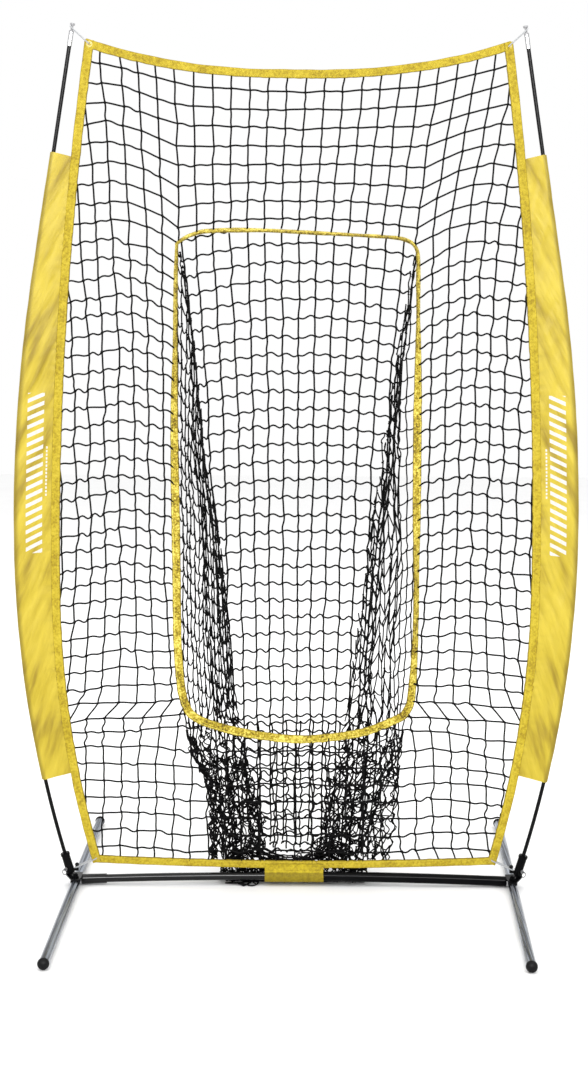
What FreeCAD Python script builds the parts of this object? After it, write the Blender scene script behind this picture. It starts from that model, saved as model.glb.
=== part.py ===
import FreeCAD, Part
import math
import os

# Pitching target net: a base bar on two swivelling legs holds two bowed poles, and the
# poles hold a net with a strike-zone opening and a ball pocket behind it.
# Millimetres. X runs along the base bar, -Y is the pitcher's side, +Z is up.
# The origin is the middle of the footprint, on the ground.

Vec = FreeCAD.Vector
UP = Vec(0, 0, 1)
DEPTH = Vec(0, 1, 0)

# ---- driving dimensions -------------------------------------------------------------
NET_Y = 30.0              # bar, poles and net stand this far behind the leg pivots
HUB_X = 557.0             # leg pivot from the middle
LEG_REACH = 505.0         # pivot to the middle of an end cap
LEG_Z = 13.0
LEG_R = 11.0
LEG_WALL = 1.5
CAP_R = 13.5
RIGHT_LEG_TOE = 3.0       # degrees that the right leg stands short of fully open

BAR_END_X = 541.0
BAR_END_Z = 14.0
BAR_RISE = 10.5           # the bar bows up this much at the middle
BAR_THIN_R = 10.0
BAR_THICK_R = 12.7
BAR_WALL = 1.5
BAR_MOUTH_X = -20.0       # where the thick tube's mouth is
BAR_INNER_END_X = 115.0   # how far the thin tube reaches inside it
COLLAR_R = 12.2
COLLAR_LENGTH = 61.0
PLUG_LENGTH = 56.0        # how far the right hub's stub reaches into the thick tube
RIVET_X = (-498.0, -522.0, 498.0, 522.0)
RIVET_R = 2.4
RIVET_HEAD_R = 3.6
FIT_GAP = 0.05            # between pieces that are pressed or pushed together

POLE_R = 4.75
POLE_WALL = 1.4
POLE_BASE_Z = 60.0
POLE_MAX_X = 694.0        # the widest point of the bow
POLE_MAX_Z = 870.0
POLE_LOW_RADIUS = 2940.0
POLE_HIGH_RADIUS = 4030.0
POLE_LEAN_IN = 9.5        # degrees of the straight top stretch
POLE_TOP_Z = 2098.0
POLE_JOINT_Z = (735.0, 1420.0)
FERRULE_R = 6.5
FERRULE_LENGTH = 60.0

TIP_FERRULE_Z = (2080.0, 2112.0)
TIP_FERRULE_R = 5.6
TIP_CAP_TOP_Z = 2134.0

BORDER_MAX_X = 611.0      # outer edge of the border binding at its widest
BORDER_MAX_Z = 760.0
BORDER_LOW_RADIUS = 2625.0
BORDER_HIGH_RADIUS = 8925.0
BORDER_TOP_Z = 2030.0     # upper edge of the top binding at the middle
BORDER_TOP_SAG = 65.0
BORDER_TOP_HALF = 508.0
BORDER_LOW_Z = 45.0
BORDER_LOW_SAG = 15.0
BORDER_LOW_HALF = 525.0
BINDING_WIDTH = 25.0
BINDING_LOW_WIDTH = 21.0
BINDING_THICK = 4.0
NETTING_THICK = 1.6

ZONE_HALF = 299.0         # strike-zone binding, measured on its centre line
ZONE_TOP_Z = 1643.0
ZONE_CORNER_Z = 500.0
ZONE_LOW_Z = 383.0
ZONE_BINDING = 19.0
ZONE_TOP_CORNER_R = 32.0
ZONE_LOW_CORNER = (31.0, 53.0)      # in from the side, and below the straight side's end
ZONE_BELLY = (8.0, 32.0)            # a point half way round that corner

SLEEVE_TOP_Z = (1823.0, 1833.0)     # at the binding, at the pole
SLEEVE_LOW_Z = (294.0, 278.0)
SLEEVE_R = 7.8
SLEEVE_BORE_R = 6.9
SLEEVE_THICK = 3.0

POCKET_DEPTH = 170.0
POCKET_LOW_Z = 130.0
POCKET_LOW_HALF = 165.0
HEAP_LOW_Z = 1.5          # the gathered netting reaches the ground behind the bar
HEAP_FRONT = 17.0         # the gathered netting starts this far behind the net
HEAP_ROUND = 26.0

PLATE_Z = 25.2            # underside of the hub plate
PLATE_THICK = 3.0
PLATE_R = 14.0
PLATE_TOP = PLATE_Z + PLATE_THICK
BOLT_R = 4.0
RUNNING_GAP = 0.1

SOCKET_R = 10.75
SOCKET_SPAN = (3.5, 58.0)           # along the leaning axis, from the plate's top
POST_R = 7.0
POST_TOP = 27.0
SOCKET_BORE_FOOT = 32.0             # the pole stands on this shoulder in the socket
SOCKET_RIM = 1.2
PIN_R = 2.5
PIN_AT = 16.0
PIN_COLLAR_R = 4.6
PIN_HEADING = math.radians(-55.0)   # the pull pin points outwards and to the front
RING_RADIUS = 6.5
RING_WIRE_R = 0.8

BUTTON_X = 95.0
BUTTON_R = 3.0
TAB_HALF = 75.0
TAB_BORE_R = 13.2
TAB_R = 15.2
CORD_R = 1.6
LOOP_R = 5.8
HOOK_FOOT = Vec(553.0, NET_Y, 42.0)
HOOK_POST_R = 3.2
HOOK_KNOB_R = 5.2
HOOK_OUT = 3.0            # the hook's post stands this far outside its foot
EYELET_INSET = 11.0
EYELET_BORE_R = 3.4
EYELET_WALL_R = 5.0
EYELET_FLANGE_R = 7.5
CUT = 9.0                 # half depth of a cutting prism, more than any layer of the net


# ---- small helpers ------------------------------------------------------------------
def save(name, shape):
    """Write one node. Several solids in one shape stay separate solids."""
    shape.exportStep("parts/%s.step" % name)


def mirrored(shape):
    """The same piece on the other side of the net."""
    return shape.mirror(Vec(0, 0, 0), Vec(1, 0, 0))


def save_pair(name, shape):
    """A piece made for the right side, written for both sides."""
    save(name + "_right", shape)
    save(name + "_left", mirrored(shape))


def rod(start, direction, length, radius):
    return Part.makeCylinder(radius, length, start, direction)


def tube(start, direction, length, outer, inner):
    return rod(start, direction, length, outer).cut(rod(start, direction, length, inner))


def prism(edges, y_low, y_high):
    """A flat outline in the XZ plane, given depth."""
    face = Part.Face(Part.Wire(edges))
    face.translate(Vec(0, y_low, 0))
    return face.extrude(Vec(0, y_high - y_low, 0))


def polygon(points):
    """Edges of a closed polygon of (x, z) points."""
    corners = [Vec(x, 0, z) for x, z in points]
    corners.append(corners[0])
    return [Part.LineSegment(a, b).toShape() for a, b in zip(corners, corners[1:])]


def arc(a, through, b):
    return Part.Arc(Vec(a[0], 0, a[1]), Vec(through[0], 0, through[1]), Vec(b[0], 0, b[1])).toShape()


def line(a, b):
    return Part.LineSegment(Vec(a[0], 0, a[1]), Vec(b[0], 0, b[1])).toShape()


def bent_rod(centre, bend_radius, start_deg, end_deg, radius):
    """A round rod bent on an arc in the XZ plane about centre (x, z)."""
    start = math.radians(start_deg)
    middle = Vec(centre[0] + bend_radius * math.cos(start), NET_Y, centre[1] + bend_radius * math.sin(start))
    tangent = Vec(-math.sin(start), 0, math.cos(start))
    section = Part.Face(Part.Wire(Part.makeCircle(radius, middle, tangent)))
    return section.revolve(Vec(centre[0], NET_Y, centre[1]), -DEPTH, end_deg - start_deg)


# ---- curves -------------------------------------------------------------------------
POLE_TURN_Z = POLE_MAX_Z + POLE_HIGH_RADIUS * math.sin(math.radians(POLE_LEAN_IN))
POLE_TURN_X = POLE_MAX_X - POLE_HIGH_RADIUS * (1 - math.cos(math.radians(POLE_LEAN_IN)))
LEAN_IN = Vec(-math.sin(math.radians(POLE_LEAN_IN)), 0, math.cos(math.radians(POLE_LEAN_IN)))


def pole_x(z):
    """Middle of the right pole at a height."""
    if z > POLE_TURN_Z:
        return POLE_TURN_X - (z - POLE_TURN_Z) * math.tan(math.radians(POLE_LEAN_IN))
    bend = POLE_HIGH_RADIUS if z > POLE_MAX_Z else POLE_LOW_RADIUS
    return POLE_MAX_X - bend + math.sqrt(bend ** 2 - (z - POLE_MAX_Z) ** 2)


def pole_rod(z_low, z_high, radius):
    """A round rod that follows the right pole between two heights."""
    spans = []
    for bend, low, high in ((POLE_LOW_RADIUS, POLE_BASE_Z, POLE_MAX_Z),
                            (POLE_HIGH_RADIUS, POLE_MAX_Z, POLE_TURN_Z)):
        low = max(low, z_low)
        high = min(high, z_high)
        if high > low:
            start = math.degrees(math.asin((low - POLE_MAX_Z) / bend))
            end = math.degrees(math.asin((high - POLE_MAX_Z) / bend))
            spans.append(bent_rod((POLE_MAX_X - bend, POLE_MAX_Z), bend, start, end, radius))
    low = max(POLE_TURN_Z, z_low)
    if z_high > low:
        spans.append(rod(Vec(pole_x(low), NET_Y, low), LEAN_IN, (z_high - low) / LEAN_IN.z, radius))
    whole = spans[0]
    for span in spans[1:]:
        whole = whole.fuse(span)
    return whole


def border_x(z, inset=0.0):
    """Side edge of the border binding, or a line that far inside it."""
    bend = BORDER_HIGH_RADIUS if z > BORDER_MAX_Z else BORDER_LOW_RADIUS
    return BORDER_MAX_X - bend + math.sqrt((bend - inset) ** 2 - (z - BORDER_MAX_Z) ** 2)


def sagging_z(x, middle_z, sag, half):
    """Height of a shallow arc that is lowest in the middle."""
    radius = (half ** 2 + sag ** 2) / (2 * sag)
    return middle_z + radius - math.sqrt(radius ** 2 - x ** 2)


def border_top_z(x, inset=0.0):
    return sagging_z(x, BORDER_TOP_Z - inset, BORDER_TOP_SAG, BORDER_TOP_HALF)


def border_low_z(x, inset=0.0):
    return sagging_z(x, BORDER_LOW_Z + inset, BORDER_LOW_SAG, BORDER_LOW_HALF)


def border_corner(edge_z, inset_side, inset_edge):
    """Where the side meets the top or the bottom edge."""
    x = BORDER_TOP_HALF
    z = edge_z(x, inset_edge)
    for _ in range(20):
        x = border_x(z, inset_side)
        z = edge_z(x, inset_edge)
    return x, z


def border_outline(inset_side, inset_top, inset_low):
    """The net's outline: bowed sides, sagging top and bottom."""
    top = border_corner(border_top_z, inset_side, inset_top)
    low = border_corner(border_low_z, inset_side, inset_low)
    widest = (border_x(BORDER_MAX_Z, inset_side), BORDER_MAX_Z)
    low_z = (low[1] + BORDER_MAX_Z) / 2
    high_z = (top[1] + BORDER_MAX_Z) / 2
    low_way = (border_x(low_z, inset_side), low_z)
    high_way = (border_x(high_z, inset_side), high_z)

    def flip(point):
        return -point[0], point[1]

    return [arc(low, low_way, widest), arc(widest, high_way, top),
            arc(top, (0, BORDER_TOP_Z - inset_top), flip(top)),
            arc(flip(top), flip(high_way), flip(widest)),
            arc(flip(widest), flip(low_way), flip(low)),
            arc(flip(low), (0, BORDER_LOW_Z + inset_low), low)]


def zone_outline(grow):
    """Strike-zone opening: straight top and sides, sagging bottom. grow widens it."""
    side = ZONE_HALF + grow
    top = ZONE_TOP_Z + grow
    top_corner = ZONE_TOP_CORNER_R + grow
    round_off = top_corner * (1 - math.sqrt(0.5))
    slight = 0.45 * grow
    most = 0.9 * grow
    low_corner_x = ZONE_HALF - ZONE_LOW_CORNER[0] + slight
    low_corner_z = ZONE_CORNER_Z - ZONE_LOW_CORNER[1] - most
    belly_x = ZONE_HALF - ZONE_BELLY[0] + most
    belly_z = ZONE_CORNER_Z - ZONE_BELLY[1] - slight

    def half(sign):
        return {"top": (sign * (side - top_corner), top),
                "shoulder": (sign * (side - round_off), top - round_off),
                "side": (sign * side, top - top_corner),
                "low_side": (sign * side, ZONE_CORNER_Z),
                "belly": (sign * belly_x, belly_z),
                "low": (sign * low_corner_x, low_corner_z)}

    right = half(1)
    left = half(-1)
    return [line(left["top"], right["top"]),
            arc(right["top"], right["shoulder"], right["side"]),
            line(right["side"], right["low_side"]),
            arc(right["low_side"], right["belly"], right["low"]),
            arc(right["low"], (0, ZONE_LOW_Z - grow), left["low"]),
            arc(left["low"], left["belly"], left["low_side"]),
            line(left["low_side"], left["side"]),
            arc(left["side"], left["shoulder"], left["top"])]


# ---- base bar -----------------------------------------------------------------------
BAR_RADIUS = (BAR_END_X ** 2 + BAR_RISE ** 2) / (2 * BAR_RISE)
BAR_CENTRE_Z = BAR_END_Z + BAR_RISE - BAR_RADIUS


def bar_z(x):
    return BAR_CENTRE_Z + math.sqrt(BAR_RADIUS ** 2 - x ** 2)


def bar_rod(x_from, x_to, radius):
    """A rod on the bar's gentle bow, from the higher x to the lower."""
    start = math.degrees(math.acos(x_to / BAR_RADIUS))
    end = math.degrees(math.acos(x_from / BAR_RADIUS))
    return bent_rod((0, BAR_CENTRE_Z), BAR_RADIUS, start, end, radius)


def bar_tube(x_from, x_to, outer, inner):
    return bar_rod(x_from, x_to, outer).cut(bar_rod(x_from - 1, x_to + 1, inner))


def with_rivet_holes(shape, side):
    """The shape with the holes where rivets hold one side's hub, entering from behind."""
    for x in RIVET_X:
        if x * side > 0:
            shape = shape.cut(rod(Vec(x, NET_Y + 5, bar_z(x)), DEPTH, 14, RIVET_R + FIT_GAP))
    return shape


def make_base_bar():
    hole = rod(Vec(BUTTON_X, NET_Y + 5, bar_z(BUTTON_X)), DEPTH, 14, BUTTON_R + RUNNING_GAP)
    thin_bore = BAR_THIN_R - BAR_WALL
    thick_bore = BAR_THICK_R - BAR_WALL
    thin = bar_tube(-BAR_END_X, BAR_INNER_END_X, BAR_THIN_R, thin_bore)
    thick = bar_tube(BAR_MOUTH_X, BAR_END_X, BAR_THICK_R, thick_bore)
    save("base_bar_left", with_rivet_holes(thin.cut(hole), -1))
    save("base_bar_right", with_rivet_holes(thick.cut(hole), 1))

    bush_bore = BAR_THIN_R + FIT_GAP
    bush_r = thick_bore - FIT_GAP
    mouth = bar_tube(BAR_MOUTH_X, BAR_MOUTH_X + 30, bush_r, bush_bore)
    lip = bar_tube(BAR_MOUTH_X - 3, BAR_MOUTH_X, BAR_THICK_R, bush_bore)
    inner = bar_tube(BUTTON_X - 50, BUTTON_X - 20, bush_r, bush_bore)
    save("bar_bushings", Part.makeCompound([mouth.fuse(lip), inner]))

    make_snap_button()

    heads = []
    for x in RIVET_X:
        outer = COLLAR_R if x < 0 else BAR_THICK_R
        inner_end = BAR_THIN_R - 3 if x < 0 else thick_bore - 4
        z = bar_z(x)
        shank = rod(Vec(x, NET_Y + inner_end, z), DEPTH, outer - inner_end, RIVET_R)
        seat = rod(Vec(x, NET_Y + outer, z), DEPTH, 0.4, RIVET_HEAD_R)
        dome = Part.makeSphere(5.0, Vec(x, NET_Y + outer - 3.2, z))
        dome = dome.common(rod(Vec(x, NET_Y + outer + 0.1, z), DEPTH, 4, 6))
        heads.append(shank.fuse(seat).fuse(dome))
    save("bar_rivets", Part.makeCompound(heads))


def make_snap_button():
    """Spring button that locks the two tubes, behind the bar, and its leaf spring."""
    z = bar_z(BUTTON_X)
    stem = rod(Vec(BUTTON_X, NET_Y + 4.2, z), DEPTH, 9.6, BUTTON_R)
    dome = Part.makeSphere(BUTTON_R, Vec(BUTTON_X, NET_Y + 13.2, z))
    dome = dome.common(rod(Vec(BUTTON_X, NET_Y + 13.2, z), DEPTH, 4, BUTTON_R + 1))
    arm = Part.makeBox(34, 0.8, 5, Vec(BUTTON_X - 28, NET_Y + 3.6, z - 2.5))
    save("bar_snap_button", stem.fuse(dome).fuse(arm))

    back_leaf = Part.makeBox(36, 0.8, 5, Vec(BUTTON_X - 30, NET_Y - 7.4, z - 2.5))
    bend = Part.makeBox(0.8, 11.0, 5, Vec(BUTTON_X - 30.8, NET_Y - 7.4, z - 2.5))
    save("bar_snap_spring", back_leaf.fuse(bend))


# ---- hubs, sockets and pull pins -----------------------------------------------------
POST_LEAN = math.asin((POLE_MAX_Z - POLE_BASE_Z) / POLE_LOW_RADIUS)
POST_AXIS = Vec(math.sin(POST_LEAN), 0, math.cos(POST_LEAN))
POST_FOOT = Vec(pole_x(POLE_BASE_Z) - (POLE_BASE_Z - PLATE_TOP) * math.tan(POST_LEAN), NET_Y, PLATE_TOP)
PIN_POINT = POST_FOOT + POST_AXIS * PIN_AT
PIN_AXIS = Vec(math.cos(PIN_HEADING), math.sin(PIN_HEADING), 0)
RING_AXIS = Vec(-PIN_AXIS.y, PIN_AXIS.x, 0)
PIN_EYE = 19.0            # from the socket's axis to the ring's hole


def hub_plate():
    """Flat plate over the leg, from the bar's end to the pivot and the pole post."""
    lobes = [(HUB_X, 0.0, PLATE_R), (POST_FOOT.x, NET_Y, PLATE_R), (BAR_END_X + 6, NET_Y, PLATE_R - 2)]
    discs = [rod(Vec(x, y, PLATE_Z), UP, PLATE_THICK, r) for x, y, r in lobes]
    corners = [Vec(x, y, PLATE_Z) for x, y, _ in lobes]
    middle = Part.Face(Part.makePolygon(corners + corners[:1])).extrude(Vec(0, 0, PLATE_THICK))
    plate = discs[0].fuse(discs[1:] + [middle])
    for (xa, ya, ra), (xb, yb, rb) in zip(lobes, lobes[1:] + lobes[:1]):
        along = Vec(xb - xa, yb - ya, 0)
        side = Vec(-along.y, along.x, 0).normalize()
        a = Vec(xa, ya, PLATE_Z)
        b = Vec(xb, yb, PLATE_Z)
        ends = [a + side * ra, b + side * rb, b - side * rb, a - side * ra]
        web = Part.Face(Part.makePolygon(ends + ends[:1])).extrude(Vec(0, 0, PLATE_THICK))
        plate = plate.fuse(web)
    over_bar = Part.makeBox(40, 60, PLATE_THICK, Vec(BAR_END_X - 39, NET_Y - 30, PLATE_Z))
    return plate.cut(over_bar).removeSplitter()


def pin_rod(start, end, radius):
    return rod(PIN_POINT + PIN_AXIS * start, PIN_AXIS, end - start, radius)


def hub_core(bar_end):
    """Plate, pole post and the fitting that joins them to the bar's end."""
    post = rod(POST_FOOT - POST_AXIS * 2, POST_AXIS, POST_TOP + 2, POST_R)
    bolt_hole = rod(Vec(HUB_X, 0, PLATE_Z - 1), UP, PLATE_THICK + 2, BOLT_R + FIT_GAP)
    core = hub_plate().fuse(post).fuse(bar_end)
    return core.cut(bolt_hole).cut(pin_rod(-12, 12, PIN_R + RUNNING_GAP))


def make_hubs():
    """The right bar plugs over a stub; the left bar sits inside a collar."""
    disc = bar_rod(BAR_END_X, BAR_END_X + 3, BAR_THICK_R)
    plug_r = BAR_THICK_R - BAR_WALL - FIT_GAP
    plug = bar_tube(BAR_END_X - PLUG_LENGTH, BAR_END_X, plug_r, plug_r - 2)
    save("hub_right", with_rivet_holes(hub_core(disc.fuse(plug)), 1))

    collar = mirrored(bar_tube(-BAR_END_X, -BAR_END_X + COLLAR_LENGTH, COLLAR_R, BAR_THIN_R + FIT_GAP))
    end = mirrored(bar_rod(-BAR_END_X - 3, -BAR_END_X, COLLAR_R))
    save("hub_left", with_rivet_holes(mirrored(hub_core(end.fuse(collar))), -1))


def make_sockets():
    """Tube over the post, with the pole in its upper bore and a hook for the corner cord."""
    low, high = SOCKET_SPAN
    foot = POST_FOOT + POST_AXIS * low
    shoulder = POST_FOOT + POST_AXIS * SOCKET_BORE_FOOT
    body = rod(foot, POST_AXIS, high - low, SOCKET_R)
    body = body.cut(rod(foot, POST_AXIS, POST_TOP + 3 - low, POST_R + RUNNING_GAP))
    body = body.cut(rod(shoulder, POST_AXIS, high - SOCKET_BORE_FOOT, POLE_R + 0.25))
    body = body.cut(pin_rod(-12, 12, PIN_R + RUNNING_GAP))
    rim = tube(POST_FOOT + POST_AXIS * (high - 7), POST_AXIS, 5, SOCKET_R + SOCKET_RIM, SOCKET_R - 0.5)
    save_pair("pole_socket", body.fuse(rim))

    lug = Part.makeBox(14, 8, 5, HOOK_FOOT - Vec(1, 4, 5))
    lug = lug.cut(rod(POST_FOOT, POST_AXIS, 70, SOCKET_R))
    post = rod(HOOK_FOOT + Vec(HOOK_OUT, 0, -5), UP, 14, HOOK_POST_R)
    knob = Part.makeSphere(HOOK_KNOB_R, HOOK_FOOT + Vec(HOOK_OUT, 0, 10.5))
    hook = lug.fuse(post).fuse(knob)
    save("corner_hooks", Part.makeCompound([hook, mirrored(hook)]))


def make_pull_pins():
    shank = pin_rod(-13.5, PIN_EYE + 3.0, PIN_R)
    collar = pin_rod(12.0, 14.5, PIN_COLLAR_R)
    eye_at = PIN_POINT + PIN_AXIS * PIN_EYE
    flats = []
    for side_y in (1.2, -5.2):
        corner = Part.makeBox(8, 4, 10, Vec(-4, side_y, -5))
        corner.rotate(Vec(0, 0, 0), UP, math.degrees(PIN_HEADING))
        corner.translate(eye_at)
        flats.append(corner)
    hole = rod(eye_at - RING_AXIS * 5, RING_AXIS, 10, RING_WIRE_R + 0.35)
    save_pair("pull_pin", shank.fuse(collar).cut(flats[0]).cut(flats[1]).cut(hole))

    ring = Part.makeTorus(RING_RADIUS, RING_WIRE_R, eye_at - UP * RING_RADIUS, PIN_AXIS)
    save_pair("pull_ring", ring)


# ---- legs ---------------------------------------------------------------------------
def leg_pieces(toe):
    """One leg as pieces on the right side: tube, saddle and two end caps."""
    pivot = Vec(HUB_X, 0, 0)
    end = LEG_REACH - 5
    pipe = tube(Vec(HUB_X, -end, LEG_Z), DEPTH, 2 * end, LEG_R, LEG_R - LEG_WALL)
    bolt = rod(pivot, UP, 60, BOLT_R + RUNNING_GAP)
    saddle = Part.makeBox(20, 30, 9, Vec(HUB_X - 10, -15, PLATE_Z - 0.15 - 9))
    saddle = saddle.cut(rod(Vec(HUB_X, -20, LEG_Z), DEPTH, 40, LEG_R)).cut(bolt)
    pieces = {"leg_tube": pipe.cut(bolt), "leg_saddle": saddle}
    for name, way in (("leg_cap_front", -1), ("leg_cap_rear", 1)):
        ball = Part.makeSphere(CAP_R, Vec(HUB_X, way * LEG_REACH, LEG_Z))
        ball = ball.cut(Part.makeBox(40, 40, 10, Vec(HUB_X - 20, way * LEG_REACH - 20, -10)))
        ball = ball.cut(rod(Vec(HUB_X, way * (end - 30), LEG_Z), DEPTH * way, 30, LEG_R + 1))
        plug = rod(Vec(HUB_X, way * (end - 22), LEG_Z), DEPTH * way, 23, LEG_R - LEG_WALL - 0.05)
        pieces[name] = ball.fuse(plug)
    for piece in pieces.values():
        piece.rotate(pivot, UP, -toe)
    return pieces


def make_legs():
    for name, shape in leg_pieces(RIGHT_LEG_TOE).items():
        save(name + "_right", shape)
    for name, shape in leg_pieces(0.0).items():
        save(name + "_left", mirrored(shape))

    head_top = LEG_Z - LEG_R - 0.1
    head = rod(Vec(HUB_X, 0, head_top - 1.5), UP, 1.5, 8)
    shank = rod(Vec(HUB_X, 0, head_top - 0.5), UP, 38, BOLT_R)
    save_pair("pivot_bolt", head.fuse(shank))

    washer = tube(Vec(HUB_X, 0, PLATE_TOP), UP, 1.6, 8.5, BOLT_R + 0.2)
    save("pivot_washers", Part.makeCompound([washer, mirrored(washer)]))
    across_corners = 13.0 / math.cos(math.radians(30)) / 2
    corners = []
    for step in range(7):
        turn = math.radians(60 * step)
        corners.append(Vec(HUB_X + across_corners * math.cos(turn), across_corners * math.sin(turn),
                           PLATE_TOP + 1.6))
    nut = Part.Face(Part.makePolygon(corners)).extrude(Vec(0, 0, 7.5))
    crown = rod(Vec(HUB_X, 0, PLATE_TOP + 9.1), UP, 1.6, 5.4)
    nut = nut.fuse(crown).cut(rod(Vec(HUB_X, 0, PLATE_TOP), UP, 12, BOLT_R + 0.02))
    save("pivot_nuts", Part.makeCompound([nut, mirrored(nut)]))


# ---- poles --------------------------------------------------------------------------
def make_poles():
    low_joint, high_joint = POLE_JOINT_Z
    spans = {"pole_lower": (POLE_BASE_Z, low_joint), "pole_middle": (low_joint, high_joint),
             "pole_upper": (high_joint, POLE_TOP_Z)}
    for name, (low, high) in spans.items():
        bore = pole_rod(low, high, POLE_R - POLE_WALL)
        save_pair(name, pole_rod(low, high, POLE_R).cut(bore))

    ferrules = []
    for z in POLE_JOINT_Z:
        low = z - FERRULE_LENGTH / 2
        high = z + FERRULE_LENGTH / 2
        ferrules.append(pole_rod(low, high, FERRULE_R).cut(pole_rod(low - 2, high + 2, POLE_R + 0.03)))
    save_pair("pole_ferrules", Part.makeCompound(ferrules))

    low, high = TIP_FERRULE_Z
    sheath = pole_rod(low, high, TIP_FERRULE_R).cut(pole_rod(low - 1, POLE_TOP_Z, POLE_R + 0.03))
    save_pair("tip_ferrule", sheath)

    foot = Vec(pole_x(high), NET_Y, high)
    length = (TIP_CAP_TOP_Z - high) / LEAN_IN.z - 1.0
    base = rod(foot, LEAN_IN, 3.5, 6.0)
    neck = rod(foot, LEAN_IN, length, 2.9)
    head = rod(foot + LEAN_IN * (length - 5), LEAN_IN, 5, 6.0)
    head = head.makeFillet(1.4, [edge for edge in head.Edges if edge.Closed])
    save_pair("tip_cap", base.fuse(neck).fuse(head))


# ---- net, bindings and sleeves -------------------------------------------------------
def eyelet_places():
    top = border_corner(border_top_z, 0, 0)
    low = border_corner(border_low_z, 0, 0)
    return [Vec(top[0] - EYELET_INSET, NET_Y, top[1] - EYELET_INSET),
            Vec(low[0] - EYELET_INSET, NET_Y, low[1] + EYELET_INSET)]


def eyelet_rods(radius, half_length):
    rods = []
    for place in eyelet_places():
        for x in (place.x, -place.x):
            rods.append(rod(Vec(x, NET_Y - half_length, place.z), DEPTH, 2 * half_length, radius))
    return rods


def make_bindings():
    half = BINDING_THICK / 2
    outer = prism(border_outline(0, 0, 0), NET_Y - half, NET_Y + half)
    inner = prism(border_outline(BINDING_WIDTH, BINDING_WIDTH, BINDING_LOW_WIDTH), NET_Y - CUT, NET_Y + CUT)
    ring = outer.cut(inner).cut(Part.makeCompound(eyelet_rods(EYELET_WALL_R + FIT_GAP, CUT)))

    bands = {}
    for name, edge_z, inset in (("binding_top", border_top_z, BINDING_WIDTH),
                                ("binding_bottom", border_low_z, BINDING_LOW_WIDTH)):
        out = border_corner(edge_z, 0, 0)
        inn = border_corner(edge_z, BINDING_WIDTH, inset)
        step = (out[0] - inn[0], out[1] - inn[1])
        deep = (inn[0] - 8 * step[0], inn[1] - 8 * step[1])
        far = (out[0] + 3 * step[0], out[1] + 3 * step[1])
        wedge = prism(polygon([deep, far, (-far[0], far[1]), (-deep[0], deep[1])]), NET_Y - CUT, NET_Y + CUT)
        bands[name] = ring.common(wedge)
        save(name, bands[name])
    sides = ring.cut(bands["binding_top"]).cut(bands["binding_bottom"])
    for solid in sides.Solids:
        save("binding_right" if solid.CenterOfMass.x > 0 else "binding_left", solid)

    eyelets = []
    for place in eyelet_places():
        wall = tube(place - DEPTH * 2.2, DEPTH, 4.4, EYELET_WALL_R, EYELET_BORE_R)
        front = tube(place - DEPTH * 3.0, DEPTH, 0.9, EYELET_FLANGE_R, EYELET_BORE_R)
        back = tube(place + DEPTH * 2.1, DEPTH, 0.9, EYELET_FLANGE_R, EYELET_BORE_R)
        eyelet = wall.fuse(front).fuse(back)
        eyelets += [eyelet, mirrored(eyelet)]
    save("corner_eyelets", Part.makeCompound(eyelets))

    zone = prism(zone_outline(ZONE_BINDING / 2), NET_Y - half, NET_Y + half)
    save("strike_zone_binding", zone.cut(prism(zone_outline(-ZONE_BINDING / 2), NET_Y - CUT, NET_Y + CUT)))


def make_net_panels():
    """The front netting, in four pieces round the strike zone."""
    half = NETTING_THICK / 2
    net = prism(border_outline(BINDING_WIDTH, BINDING_WIDTH, BINDING_LOW_WIDTH), NET_Y - half, NET_Y + half)
    net = net.cut(prism(zone_outline(ZONE_BINDING / 2), NET_Y - CUT, NET_Y + CUT))
    split_top = ZONE_TOP_Z - 20
    split_low = ZONE_CORNER_Z
    above = Part.makeBox(2000, 20, 900, Vec(-1000, NET_Y - 10, split_top))
    below = Part.makeBox(2000, 20, split_low, Vec(-1000, NET_Y - 10, 0))
    save("net_panel_top", net.common(above))
    save("net_panel_bottom", net.common(below))
    for solid in net.cut(above).cut(below).Solids:
        save("net_panel_right" if solid.CenterOfMass.x > 0 else "net_panel_left", solid)


def make_sleeves():
    """Cloth sleeve from the border binding round the pole."""
    top_in, top_out = SLEEVE_TOP_Z
    low_in, low_out = SLEEVE_LOW_Z
    at_top = (pole_x(top_out), top_out)
    at_turn = (POLE_TURN_X, POLE_TURN_Z)
    at_wide = (POLE_MAX_X, POLE_MAX_Z)
    at_low = (pole_x(low_out), low_out)

    def on_pole(z):
        return pole_x(z), z

    def on_border(z):
        return border_x(z), z

    widest = on_border(BORDER_MAX_Z)
    edges = [line(on_border(top_in), at_top), line(at_top, at_turn),
             arc(at_turn, on_pole((POLE_TURN_Z + POLE_MAX_Z) / 2), at_wide),
             arc(at_wide, on_pole((POLE_MAX_Z + low_out) / 2), at_low),
             line(at_low, on_border(low_in)),
             arc(on_border(low_in), on_border((low_in + BORDER_MAX_Z) / 2), widest),
             arc(widest, on_border((BORDER_MAX_Z + top_in) / 2), on_border(top_in))]
    panel = prism(edges, NET_Y - SLEEVE_THICK / 2, NET_Y + SLEEVE_THICK / 2)
    tunnel = pole_rod(low_out, top_out, SLEEVE_R)
    save_pair("sleeve", panel.fuse(tunnel).cut(pole_rod(low_out - 20, top_out + 20, SLEEVE_BORE_R)))


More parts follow.
